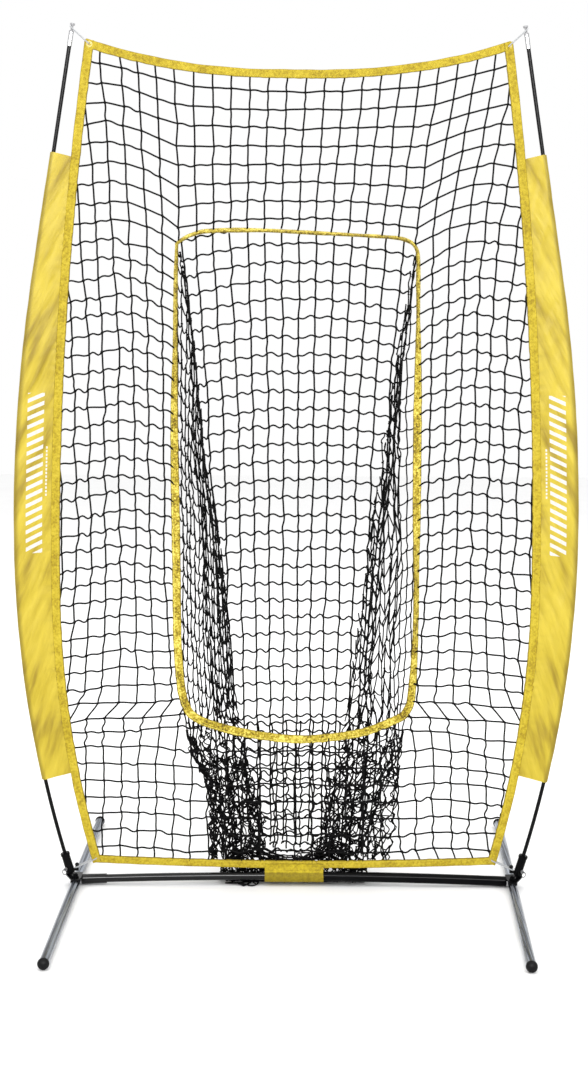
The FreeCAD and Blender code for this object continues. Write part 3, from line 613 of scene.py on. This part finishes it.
def front_row_z(i, j):
    """Height of knot (column i, row j) of the front netting."""
    a = abs(i)
    if j <= CREASE_ROW:
        middle = 1.978 - 0.0427 * j
        crease = 1.997 - 0.0486 * j if j < CREASE_ROW else 1.618
        crest = 2.044 - 0.0462 * j
        if a <= ZONE_COLUMN:
            return crease + (middle - crease) * (1 - (a / ZONE_COLUMN) ** 2.5)
        u = min((a - ZONE_COLUMN) / 4, 1.0)
        z = crease + (crest - crease) * (1 - (1 - u) ** (1 + 0.8 * j / 7))
        return z - max(0.0, a - CREST_COLUMN) * 0.003 * min(j, 2)
    if j <= FOLD_ROW:
        crest = 1.674 - 0.0442 * (j - CREASE_ROW)
        z = crest - max(0.0, a - CREST_COLUMN) * 0.006
        if a < CREST_COLUMN:
            z -= through(ROW_DROP, j) * ((CREST_COLUMN - a) / 3.6) ** 1.7
        return z
    z = 0.4 if j == 37 else 0.363 - 0.0438 * (j - 38)
    if j == 37 and a < 10:
        z += 0.018 * (10 - a) / 3
    if i > 8:
        z -= through(RIGHT_DROP, j) * (i - 8)
    return z - 0.007 * clamp(8 - a, 0, 1.5)


def front_x(i, z):
    a = abs(i)
    base = through(COLUMN_7, z)
    over = a - ZONE_COLUMN
    x = base * a / ZONE_COLUMN if over <= 0 else base + through(OUTER_PITCH, z) * over
    shift = 0.019 * clamp((z - 1.65) / 0.38)
    if i > 4:
        shift += 0.016 * clamp((0.105 - z) / 0.04, 0.0, 1.2)
    return math.copysign(x, i) + shift


def from_bindings(x, z):
    """Distance of a point from the nearest binding."""
    border = min(float(border_x(clamp(z, 0.0, 2.1))) - abs(x), float(border_top_z(x)) - z,
                 z - float(border_low_z(x)))
    zone = np.sqrt(((ZONE_LOOP - (x, z)) ** 2).sum(1).min())
    return min(border - BORDER_INSET, zone)


def net_paths(knots, columns, rows, slack, kink, rng, taut=(0.001, 0.001)):
    """Cords along the rows and then the columns of a lattice of knots. slack(j) and kink(j)
    say how wavy a cord is at row j; taut is the least wave of a row's and a column's cord."""
    paths = []
    for j in rows:
        paths.append(np.concatenate([
            wavy_span(knots[i, j], knots[i + 1, j], UP * math.copysign(1, -i - 0.5), slack(j), rng, taut[0])
            for i in columns[:-1]]))
    for i in columns:
        paths.append(np.concatenate([
            wavy_span(knots[i, j], knots[i, j + 1], ACROSS, kink(j), rng, taut[1]) for j in rows[:-1]]))
    return paths


def trimmed(name, paths, knots, keep, rng):
    """Netting of what the test keeps of the paths and knots."""
    cut = [run for path in paths for run in runs_of(path, keep(path))]
    places = np.array(list(knots.values()))
    return netting(name, cut, places[keep(places)], rng)


def front_netting():
    rng = np.random.default_rng(11)
    rows, columns = range(-1, ROWS), range(-COLUMNS, COLUMNS + 1)
    knots = {}
    for j in rows:
        for i in columns:
            z = front_row_z(i, j)
            x = front_x(i, z)
            loose = 0.0022 if abs(i) > 9 or j > FOLD_ROW else 0.0013
            dx, dz = rng.normal(0, loose, 2)
            free = clamp((from_bindings(x, z) - 0.018) / 0.06)
            dy = free * (0.005 * bumps(x * 9, z * 9, 3.1) + rng.normal(0, 0.0007))
            knots[i, j] = np.array([x + dx, NET_Y + dy, z + dz])
    paths = net_paths(knots, columns, rows, lambda j: 0.55 if j < 9 else 0.85 if j <= FOLD_ROW else 0.95,
                      lambda j: 0.3 if j < 33 else 0.55, rng, (0.0005, 0.001))

    def in_net(points):
        x, z = points[:, 0], points[:, 2]
        side = np.abs(x) < border_x(np.clip(z, 0.0, 2.1), BORDER_INSET)
        inside = side & (z < border_top_z(x, BORDER_INSET)) & (z > border_low_z(x, 0.009))
        return inside & ~inside_loop(x, z, ZONE_LOOP)

    return trimmed("front_netting", paths, knots, in_net, rng)


# Half width of the pocket's back wall, and the spacing of its columns.
BACK_HALF = [
    (1.66, 0.291), (1.5, 0.268), (1.33, 0.249), (1.07, 0.226), (0.95, 0.203), (0.8, 0.186),
    (0.645, 0.173), (0.535, 0.161), (0.45, 0.152), (0.3, 0.136), (0.11, 0.095), (0.0, 0.09)]
BACK_PITCH = [(1.66, 0.0424), (1.24, 0.0376), (0.66, 0.0353), (0.48, 0.0345), (0.0, 0.0335)]


def pocket_depth(z):
    """How far behind the front netting the back wall hangs."""
    return 0.0005 + 0.1535 * clamp((1.64 - z) / 1.51)


def back_z(i, j):
    a = abs(i)
    z = 1.62 - 0.0446 * j
    side = 0.042 if i < 0 else 0.034
    return z - side * (0.45 + 0.55 * max(0.0, 1 - max(j, 0) / 26)) * (max(0.0, a - 1.5) / 5.5) ** 1.5


def pocket_back():
    """Back wall of the pocket, with the slack lower wall that hangs in front of it."""
    rng = np.random.default_rng(23)
    rows, columns = range(-2, 36), range(-7, 8)
    knots = {}
    for j in rows:
        for i in columns:
            z = back_z(i, j)
            x = through(BACK_PITCH, z) * i
            edge = through(BACK_HALF, z)
            over = max(0.0, abs(x) - edge)
            spread = 0.25 + 0.4 * clamp((0.52 - z) / 0.1)
            x = math.copysign(min(abs(x), edge + spread * over), x) + 0.004
            y = NET_Y + pocket_depth(z) - over * 0.9
            free = clamp((1.62 - z) / 0.1)
            knots[i, j] = np.array([x, y, z]) + rng.normal(0, (0.0013, 0.002 * free, 0.0015))
    paths = net_paths(knots, columns, rows, lambda j: 0.85, lambda j: 0.35, rng)

    # the slack lower wall: its knots are numbered on from row 100
    first = next(j for j in rows if back_z(0, j) < 0.455)
    fold_rows, fold_columns = range(100, 109), range(-5, 6)
    for j in fold_rows:
        for i in fold_columns:
            z = back_z(i, first + j - 100) + 0.005
            x = through(BACK_PITCH, z) * i + 0.0135 + 0.003 * math.sin(j * 1.7 + i)
            y = NET_Y + 0.03 + 0.055 * clamp((0.452 - z) / 0.3)
            knots[i, j] = np.array([x, y, z]) + rng.normal(0, (0.0022, 0.004, 0.0025))
    paths += net_paths(knots, fold_columns, fold_rows, lambda j: 0.9, lambda j: 0.8, rng,
                       (0.0016, 0.0016))

    def in_pocket(points):
        x, z = points[:, 0], points[:, 2]
        return (z > 0.055) & ((z < 1.6) | inside_loop(x, z, ZONE_LOOP))

    return trimmed("pocket_netting_back", paths, knots, in_pocket, rng)


# Each side of the pocket: where its outer edge and its corner with the back wall hang, how wide
# the bunched part is, how many columns of the netting hang evenly, and how many more are bunched.
FOLD_EDGE = {
    -1: [(1.64, 0.2935), (0.5, 0.2925), (0.44, 0.278), (0.38, 0.27), (0.29, 0.23),
        (0.24, 0.216), (0.06, 0.209)],
    1: [(1.64, 0.2935), (0.5, 0.2925), (0.44, 0.276), (0.35, 0.268), (0.15, 0.25), (0.06, 0.236)]}
FOLD_WALL = {
    -1: BACK_HALF,
    1: [(1.66, 0.291), (1.5, 0.268), (1.17, 0.224), (0.95, 0.195), (0.8, 0.182), (0.645, 0.165),
        (0.45, 0.138), (0.33, 0.128), (0.27, 0.108), (0.15, 0.078), (0.06, 0.064)]}
FOLD_BUNCH = {
    -1: [(1.6, 0.004), (1.3, 0.016), (1.06, 0.029), (0.9, 0.04), (0.73, 0.05), (0.6, 0.056),
        (0.45, 0.064), (0.36, 0.115), (0.06, 0.13)],
    1: [(1.6, 0.005), (1.3, 0.018), (1.14, 0.036), (1.0, 0.055), (0.85, 0.075), (0.68, 0.09),
        (0.48, 0.115), (0.3, 0.135), (0.06, 0.15)]}
FOLD_EVEN = {
    -1: [(1.62, 0.8), (1.45, 2.0), (1.25, 3.6), (1.05, 5.0), (0.85, 6.0), (0.65, 6.8), (0.45, 6.8),
        (0.36, 2.0)],
    1: [(1.62, 0.8), (1.3, 1.5), (1.17, 1.8), (0.9, 2.2), (0.45, 2.4), (0.36, 1.5)]}
FOLD_MORE = {
    -1: [(1.62, 0.0), (1.45, 1.5), (1.25, 3.5), (1.0, 6.5), (0.7, 9.0), (0.45, 10.5), (0.36, 11.0)],
    1: [(1.62, 0.0), (1.45, 1.8), (1.25, 4.5), (1.0, 8.0), (0.7, 10.0), (0.45, 11.5), (0.36, 11.0)]}
FOLD_TANGLED = 0.4        # below this the sides are tangled
SECOND_LAYER = 50         # knots of a side's second layer are numbered on from this column


def gusset(side, name, seed, mess):
    """Loose netting that joins the opening's edge to the back wall, in hanging folds."""
    rng = np.random.default_rng(seed)
    rows, cols = 38, 19 if side < 0 else 16
    sway = rng.uniform(0, 6.28, (cols, 2))
    # each column hangs a little higher or lower than its neighbours
    if side < 0:
        shift = rng.uniform(-0.012, 0.012, cols)
    else:
        shift = rng.uniform(0.006, 0.021, cols) * (-1) ** np.arange(cols)
    knots, paths = {}, []

    def hang(start, row_range, loose, sunk):
        """One layer of hanging netting; its knots are numbered from column start."""
        for j in row_range:
            for k in range(cols):
                z = 1.612 - 0.0432 * j - 0.0118 * min(k, 7) - 0.004 * max(k - 7, 0)
                low = clamp((FOLD_TANGLED - z) / 0.06)
                rough = max(loose, 1.3 * low)
                even = through(FOLD_EVEN[side], z)
                z += rng.normal(0, 0.0022 + 0.0055 * rough * (k > even))
                if k > (1 if side < 0 else even):
                    z += shift[k] * (1 - low)
                more = through(FOLD_MORE[side], z)
                edge, wall = through(FOLD_EDGE[side], z), through(FOLD_WALL[side], z)
                bunch = min(through(FOLD_BUNCH[side], z), edge - wall)
                flat = edge - wall - bunch
                if k <= even:
                    x, t = edge - flat * k / even, 0.55 * k / max(even, 2.0)
                else:
                    part = min((k - even) / max(more, 1.0), 1.0)
                    x, t = edge - flat - bunch * part ** 1.25, 0.55 + 0.45 * part
                free = clamp((1.62 - z) / 0.5, 0.05)
                swing = math.sin(sway[k, 0] + z * 8) + 0.5 * math.sin(sway[k, 1] + z * 17)
                x += free * swing * (0.001 + 0.0024 * rough * (k > even))
                x += rng.normal(0, 0.0008 + 0.001 * loose + 0.0055 * low)
                deep = pocket_depth(z)
                y = NET_Y + 0.0055 + max(deep - 0.008, 0.0) * min(t, 1.0) ** 1.1 - sunk * deep * 0.25
                y += free * (0.007 * (-1) ** k * (k > even) + rng.normal(0, 0.002 + 0.003 * loose))
                y = clamp(y, NET_Y + 0.0062, NET_Y + deep + 0.01)
                knots[start + k, j] = np.array([side * min(x, edge + 0.002), y, z])
        for j in row_range:
            line = []
            for k in range(cols - 1):
                a, b = knots[start + k, j], knots[start + k + 1, j]
                share = 0.43
                if side > 0 and a[2] > 0.42:
                    share = 0.1 if k < through(FOLD_EVEN[side], a[2]) else 0.18
                line.append(hanging_span(a, b, rng, share))
            paths.append((np.concatenate(line), None))
        for k in range(cols):
            line = []
            for j in row_range[:-1]:
                a, b = knots[start + k, j], knots[start + k, j + 1]
                slack = np.array([1.0, 0.4, 0]) * rng.choice([-1, 1])
                kink, taut = (1.5, 0.0028) if a[2] < FOLD_TANGLED else (0.4, 0.001)
                line.append(wavy_span(a, b, slack, kink, rng, taut))
            paths.append((np.concatenate(line), k))

    hang(0, range(rows), mess, 0.0)
    hang(SECOND_LAYER, range(28, rows), 1.4, 1.0)

    def keep(points, column):
        x, z = points[:, 0], points[:, 2]
        good = (z > 0.048) & ((z < 1.5) | inside_loop(x, z, ZONE_LOOP))
        if column is None:
            return good & ((np.abs(x) > through(FOLD_WALL[side], z) + 0.002) | (z < 1.0))
        return good & (column <= through(FOLD_EVEN[side], z) + through(FOLD_MORE[side], z) + 0.4)

    cut = [run for path, column in paths for run in runs_of(path, keep(path, column))]
    kept = []
    for column in range(cols):
        places = np.array([place for (k, j), place in knots.items() if k % SECOND_LAYER == column])
        kept.append(places[keep(places, column)])
    return netting(name, cut, np.concatenate(kept), rng, radius=GUSSET_CORD_R)


def heap():
    """The gathered bottom of the pocket: crumpled netting behind the bar and under it."""
    rng = np.random.default_rng(41)
    step = 0.0042             # from point to point of a cord
    paths, knots = [], []

    def top_of(x):
        return (0.064 + 0.032 * math.exp(-((x + 0.125) / 0.055) ** 2)
                + 0.058 * math.exp(-((x - 0.112) / 0.042) ** 2))

    def wander(place, heading, count, low, high, turn, shrink):
        """A cord that wanders between the limits low(place) and high(place)."""
        reach = rng.uniform(0.7, 1.2)
        tight = rng.uniform(0.0, shrink)
        points = []
        bend = unit(rng.normal(size=3))
        for n in range(count):
            points.append(place.copy())
            if n % 4 == 0:
                bend = unit(bend + 0.9 * rng.normal(size=3))
            heading = unit(heading + turn * bend + 0.12 * rng.normal(size=3))
            place = place + heading * step
            lo = low(place) + (tight, 0, 0)
            hi = high(place) * (1, 1, reach) - (tight, 1.5 * tight * (place[1] > 0.09), 0)
            for axis in range(3):
                if place[axis] < lo[axis]:
                    place[axis] = lo[axis]
                    heading[axis] = abs(heading[axis]) * 0.4
                elif place[axis] > hi[axis]:
                    place[axis] = hi[axis]
                    heading[axis] = -abs(heading[axis]) * 0.4
            if n % 10 == 5:
                knots.append(place.copy())
        points = np.array(points)
        points[1:-1] = (points[:-2] + 2 * points[1:-1] + points[2:]) / 4
        paths.append(points)

    def low_limit(place):
        back = 0.022 if place[2] < 0.048 else 0.013
        return np.array([-0.195, NET_Y + back, 0.0026])

    def high_limit(place):
        slope = 1 - 0.55 * clamp((place[1] - 0.075) / 0.09)
        round_off = 1 - 0.75 * min(abs(place[0]) / 0.2, 1) ** 6
        return np.array([0.195, NET_Y + 0.13 - 0.8 * max(place[2] - 0.02, 0),
                         max(top_of(place[0]) * slope * round_off, 0.012)])

    centres = [-0.15, -0.11, 0.11, 0.135, -0.04, 0.03]
    for n in range(96):
        x = float(np.clip(rng.normal(centres[n % 6], 0.04), -0.185, 0.185))
        start = np.array([x, NET_Y + rng.uniform(0.022, 0.075), rng.uniform(0.008, 0.85 * top_of(x))])
        wander(start, unit(rng.normal(size=3) * (1, 0.6, 0.6)), 64, low_limit, high_limit, 0.42, 0.06)

    # a few loops that have slipped under the bar on the left
    def under_low(place):
        return np.array([-0.188, 0.017, 0.0026])

    def under_high(place):
        return np.array([-0.082, 0.06, 0.0066])

    for n in range(4):
        start = np.array([rng.uniform(-0.18, -0.12), rng.uniform(0.02, 0.045), 0.004])
        heading = unit(np.array([rng.uniform(0.5, 1), rng.uniform(-0.5, 0.5), 0]))
        wander(start, heading, 34, under_low, under_high, 0.24, 0.018)
    return netting("pocket_netting_heap", paths, np.array(knots), rng, radius=HEAP_CORD_R)


# ---- bindings ----
TAPE_SECTION = [
    (1.0, -0.8), (0.9, -0.98), (0.72, -1.0), (0.5, -1.0), (0.28, -1.0), (0.12, -0.95),
    (0.04, -0.62), (0.0, 0.0), (0.04, 0.62), (0.12, 0.95), (0.28, 1.0), (0.5, 1.0), (0.72, 1.0),
    (0.9, 0.98), (1.0, 0.8)]


def folded_tape(name, edge, inward, width, half_thick, seed, twist=None, wave=0.0012):
    """Tape folded in two over an edge: an open U along the edge line, its fold outside.
    inward points from the fold towards the net; twist turns each section about its middle."""
    n = len(edge)
    along = lengths_along(edge)
    grid = np.zeros((n, len(TAPE_SECTION), 3))
    uv = np.zeros((n, len(TAPE_SECTION), 2))
    for k in range(n):
        p = edge[k]
        ruck = bumps(along[k] * 22, seed * 7.7, 0.0)
        ruck2 = bumps(along[k] * 60, seed * 3.3, 5.0)
        inn = inward[k]
        depth = BACK
        if twist is not None:
            middle = p + inn * width / 2
            c, s = math.cos(twist[k]), math.sin(twist[k])
            inn, depth = inn * c + BACK * s, BACK * c - inn * s
            p = middle - inn * width / 2
        for m, (a, b) in enumerate(TAPE_SECTION):
            front = bumps(along[k] * 75, a * 2.5 + seed, 9.0 if b < 0 else 2.0)
            w = width * (1 + 0.05 * ruck2)
            lift = half_thick * (1 + 0.35 * ruck) * b + 0.0005 * front * abs(b)
            grid[k, m] = p + inn * (a * w + wave * ruck * (1 - a)) + depth * lift
            uv[k, m] = (along[k], math.copysign(a * TAPE_UV, b))
    return grid_mesh(name, grid, uv), along[-1]


EDGE_STEP = 0.005


def edge_line(x, z, sign, level):
    """Points of a border and the directions inwards from it; sign says which side it is."""
    edge = np.stack([x, np.full_like(x, NET_Y), z], -1)
    tangent = unit(np.gradient(edge, axis=0))
    flat = np.zeros(len(x))
    if level:
        return edge, unit(np.stack([sign * tangent[:, 2], flat, -sign * tangent[:, 0]], -1))
    return edge, unit(np.stack([-sign * np.abs(tangent[:, 2]), flat, sign * tangent[:, 0]], -1))


def place_tape(node, material, tape):
    """A binding stands for its CAD node."""
    piece, length = tape
    place_piece(piece, material, "yellow_binding", node)


def make_borders():
    borders = []
    for stem, half, height, sign, thick, seed in (("top", 0.506, border_top_z, 1, 0.0025, 2),
                                                  ("bottom", 0.511, border_low_z, -1, 0.0024, 3)):
        x = np.arange(-half, half + EDGE_STEP / 2, EDGE_STEP)
        borders.append((stem, edge_line(x, height(x), sign, True), BORDER_LEVEL_WIDTH, thick, seed))
    for side, sign in zip(SIDES, (-1, 1)):
        z = np.arange(0.0565, 2.101, EDGE_STEP)
        borders.append((side, edge_line(sign * border_x(z), z, sign, False), BORDER_WIDTH, 0.0029, 5 + sign))
    for stem, (edge, inward), width, thick, seed in borders:
        tape = folded_tape("border_binding_" + stem, edge, inward, width, thick, seed)
        place_tape("binding_" + stem, trim_web, tape)


def make_zone_binding():
    loop, width = ZONE_LOOP, 0.0215
    closed = np.concatenate([loop, loop[:1]])
    edge = np.stack([closed[:, 0], np.full(len(closed), NET_Y), closed[:, 1]], -1)
    tangent = unit(np.gradient(np.concatenate([loop[-1:], closed, loop[1:2]]), axis=0)[1:-1])
    outward = np.stack([tangent[:, 1], np.zeros(len(closed)), -tangent[:, 0]], -1)
    # whichever way the loop runs, this points away from the opening's middle
    outward *= np.sign((outward[:, [0, 2]] * (closed - np.array([0.0, 1.02]))).sum(1)).mean()
    edge = edge - outward * width / 2
    x, z = closed[:, 0], closed[:, 1]
    # the tape turns where the net pulls at it, most at the top, and shows its edge there
    turned_left = np.interp(z, (0.9, 1.2, 1.45, 1.62), (0.0, 0.62, 1.12, 1.2))
    turned_right = np.interp(z, (0.45, 0.62, 0.8, 0.98, 1.18, 1.45, 1.6),
                             (0.1, 0.7, 1.0, 0.3, 0.25, 1.1, 1.2))
    turned = np.where(x < 0, turned_left, turned_right)
    blend_in = np.clip((0.25 - np.abs(x)) / 0.15, 0, 1) * (z > 1)
    turned = turned * (1 - blend_in) + 1.22 * blend_in
    wobble = np.array([bumps(a * 6, b * 6, 1.7) for a, b in closed])
    twist = turned * (1 + 0.12 * wobble) + 0.1 * wobble
    twist[-1] = twist[0]
    tape = folded_tape("zone_binding", edge, outward, width, 0.0026, 9, twist, 0.0008)
    place_tape("strike_zone_binding", zone_web, tape)


# ---- sleeves and the bar tab ----
SLEEVE_TUNNEL = 0.0082    # radius of the tunnel round the pole
SLEEVE_SEAM = 0.0012      # half thickness at the binding
SLEEVE_FOOT = (0.294, 0.278)   # heights at the binding and at the pole
SLEEVE_HEAD = (1.823, 1.833)
SLEEVE_ROWS = 300
SLEEVE_LENGTH = 1.55


def make_sleeve(side, sign):
    """Cloth from the binding round the pole and back, gathered at its seam."""
    front_cols, wrap_cols, back_cols = 26, 9, 18
    grid = np.zeros((SLEEVE_ROWS, front_cols + wrap_cols + back_cols, 3))
    uv = np.zeros(grid.shape[:2] + (2,))
    # how much painted shade each point gets: round the pole and in the gathers of the seam
    painted_shade = np.zeros(grid.shape[:2])
    for r, s in enumerate(np.linspace(0, 1, SLEEVE_ROWS)):
        z_in, z_out = (low + (high - low) * s for low, high in zip(SLEEVE_FOOT, SLEEVE_HEAD))
        x_in = float(border_x(z_in)) - 0.002
        x_out = float(pole_x(z_out))
        width = x_out - x_in
        for c in range(grid.shape[1]):
            if c < front_cols:
                a, layer = c / (front_cols - 1), -1.0
            elif c < front_cols + wrap_cols:
                a, layer = 1.0, 0.0
            else:
                a, layer = 1 - (c - front_cols - wrap_cols) / (back_cols - 1), 1.0
            z = z_in + (z_out - z_in) * a
            if layer:
                x = x_in + width * a
                y = layer * (SLEEVE_SEAM + (SLEEVE_TUNNEL - SLEEVE_SEAM) * a ** 1.1)
                soft = math.sin(math.pi * clamp(a)) ** 0.7
                gather = math.exp(-a / 0.16)
                key = 40.0 * sign + (7.0 if layer > 0 else 0.0)
                slant = bumps(x * 24 * sign - z * 7, z * 5 + x * 9 * sign, key)
                small = bumps(x * 55 * sign - z * 18, z * 16, key + 3)
                tuck = bumps(z * 95, key, a * 2)
                y += soft * (0.0062 * slant + 0.0024 * small) + gather * 0.0019 * tuck
                x += 0.0012 * (1 - soft) * slant * (1 - gather)
                # painted shade as the cloth turns to the pole, and painted shadow in the seam's gathers
                painted_shade[r, c] = max(0.0, (a - 0.93) / 0.07) * 0.75 + gather * max(0.0, tuck) * 0.8
                distance = -layer * a * width
            else:
                turn = (c - front_cols + 1) / (wrap_cols + 1)
                angle = -math.pi / 2 + math.pi * turn
                ripple = 1 + 0.1 * bumps(z * 20, turn * 3, 11.0 * sign)
                x = x_out + SLEEVE_TUNNEL * math.cos(angle) * ripple
                y = SLEEVE_TUNNEL * math.sin(angle)
                # painted shade all round the pole
                painted_shade[r, c] = 1.0
                distance = width + SLEEVE_TUNNEL * math.pi * turn
            grid[r, c] = (sign * x, NET_Y + y, z)
            uv[r, c] = (s * SLEEVE_LENGTH, distance)
    made = grid_mesh("sleeve_cloth_" + side, grid, uv)
    field = made.data.attributes.new("painted_shade", "FLOAT", "POINT")
    field.data.foreach_set("value", painted_shade.astype(np.float32).ravel())
    place_piece(made, cloth, "yellow_cloth", "sleeve_" + side)


def make_tab():
    """Hook-and-loop tab, sewn to the bottom binding and wrapped round the bar."""
    centre_z = 0.0245         # of the bar
    around = 0.015           # radius of the wrap
    top_z = 0.0585
    # down the front, round under the bar, and up again behind it
    profile = [(-0.003, top_z), (-0.0042, top_z - 0.008), (-0.0068, 0.0455), (-0.011, 0.038)]
    for step in range(17):
        angle = math.radians(-52 - step * 16)
        profile.append((around * math.sin(angle), centre_z + around * math.cos(angle)))
    profile += [(0.0068, 0.0455), (0.004, top_z - 0.008), (0.003, top_z)]
    half, count = 0.075, 46
    points = np.array(profile)
    along = lengths_along(points)
    fine = np.linspace(0, along[-1], 48)
    points = np.stack([np.interp(fine, along, points[:, 0]), np.interp(fine, along, points[:, 1])], -1)
    grid = np.zeros((count, len(points), 3))
    uv = np.zeros((count, len(points), 2))
    centre = np.array([0.0, centre_z])
    for a, x in enumerate(np.linspace(-half, half, count)):
        for b, (y, z) in enumerate(points):
            away = unit(np.array([y, z]) - centre)
            pucker = (0.0009 * bumps(x * 70, fine[b] * 55, 4.0)
                      + 0.0004 * bumps(x * 240, fine[b] * 90, 8.0))
            edge = 0.001 * bumps(fine[b] * 60, 1.0 if x > 0 else 6.0, 0.0) * (abs(x) / half) ** 8
            grid[a, b] = (x + edge, NET_Y + y + away[0] * pucker, z + away[1] * pucker)
            uv[a, b] = (x, fine[b])
    made = grid_mesh("bar_tab_cloth", grid, uv)
    place_piece(made, tab_web, "yellow_binding", "bar_tab")


# ---- the scene ----
for piece, *stands_for in (
        (front_netting(), "net_panel_top", "net_panel_bottom", "net_panel_left", "net_panel_right"),
        (pocket_back(), "pocket_back"),
        (gusset(-1, "pocket_netting_left", 31, 0.15), "pocket_side_left"),
        (gusset(1, "pocket_netting_right", 37, 0.9), "pocket_side_right"),
        (heap(), "pocket_heap")):
    place_piece(piece, net_twine, "netting", *stands_for)

make_borders()
make_zone_binding()
for side, sign in zip(SIDES, (-1, 1)):
    make_sleeve(side, sign)
make_tab()


def make_stage():
    floor = make_mesh("floor", [(-9, -7, 0), (9, -7, 0), (9, 11, 0), (-9, 11, 0)], [(0, 1, 2, 3)])
    material, tree, shader = new_material("pale_floor", specular=0.2, Roughness=0.8)
    speck = noise_field(tree, coordinates(tree), 3.0, 2.0)
    feed(tree, shader.inputs["Base Color"], ramp(tree, speck, [(0.3, grey(0.93)), (0.7, grey(0.95))]))
    floor.data.materials.append(material)

    world = bpy.data.worlds.new("studio")
    bpy.context.scene.world = world
    world.use_nodes = True
    sky = world.node_tree.nodes["Background"]
    sky.inputs["Color"].default_value = (1.0, 1.0, 1.0, 1)
    sky.inputs["Strength"].default_value = 1.0


def area_light(name, place, target, size, power):
    data = bpy.data.lights.new(name, "AREA")
    data.shape = "RECTANGLE"
    data.size, data.size_y = size
    data.energy = power
    light = bpy.data.objects.new(name, data)
    aim = Vector(place) - Vector(target)
    light.rotation_mode = "QUATERNION"
    light.rotation_quaternion = aim.to_track_quat("Z", "Y")
    light.location = place
    bpy.context.scene.collection.objects.link(light)
    return light


CAMERA_PLACE = (0, -3.815, 1.4245)
CAMERA_DOWN = math.radians(7.847)
CAMERA_ROLL = 0.0059


def make_camera():
    data = bpy.data.cameras.new("camera")
    data.sensor_width = 36.0
    data.lens = 52.0
    data.shift_x = -2 / 1080
    data.clip_end = 60
    camera = bpy.data.objects.new("camera", data)
    bpy.context.scene.collection.objects.link(camera)
    tilt = Matrix.Rotation(math.pi / 2 - CAMERA_DOWN, 4, "X")
    roll = Matrix.Rotation(CAMERA_ROLL, 4, "Z")
    camera.matrix_world = Matrix.Translation(CAMERA_PLACE) @ tilt @ roll
    bpy.context.scene.camera = camera


make_stage()
area_light("key", (-3.0, -2.3, 2.4), (0, 0, 1.0), (0.9, 2.2), 34)
area_light("fill", (3.0, -2.5, 2.2), (0, 0, 1.0), (0.9, 2.2), 34)
# this one only shows in reflections: it draws the bright line along the bar
area_light("strip", (0, -3.1, 2.5), (0, 0, 0.1), (3.4, 1.0), 230).visible_diffuse = False
area_light("overhead", (0, 0.5, 4.6), (0, 0.5, 0.0), (6.0, 6.0), 150)
make_camera()
bpy.context.scene.view_settings.view_transform = "Standard"
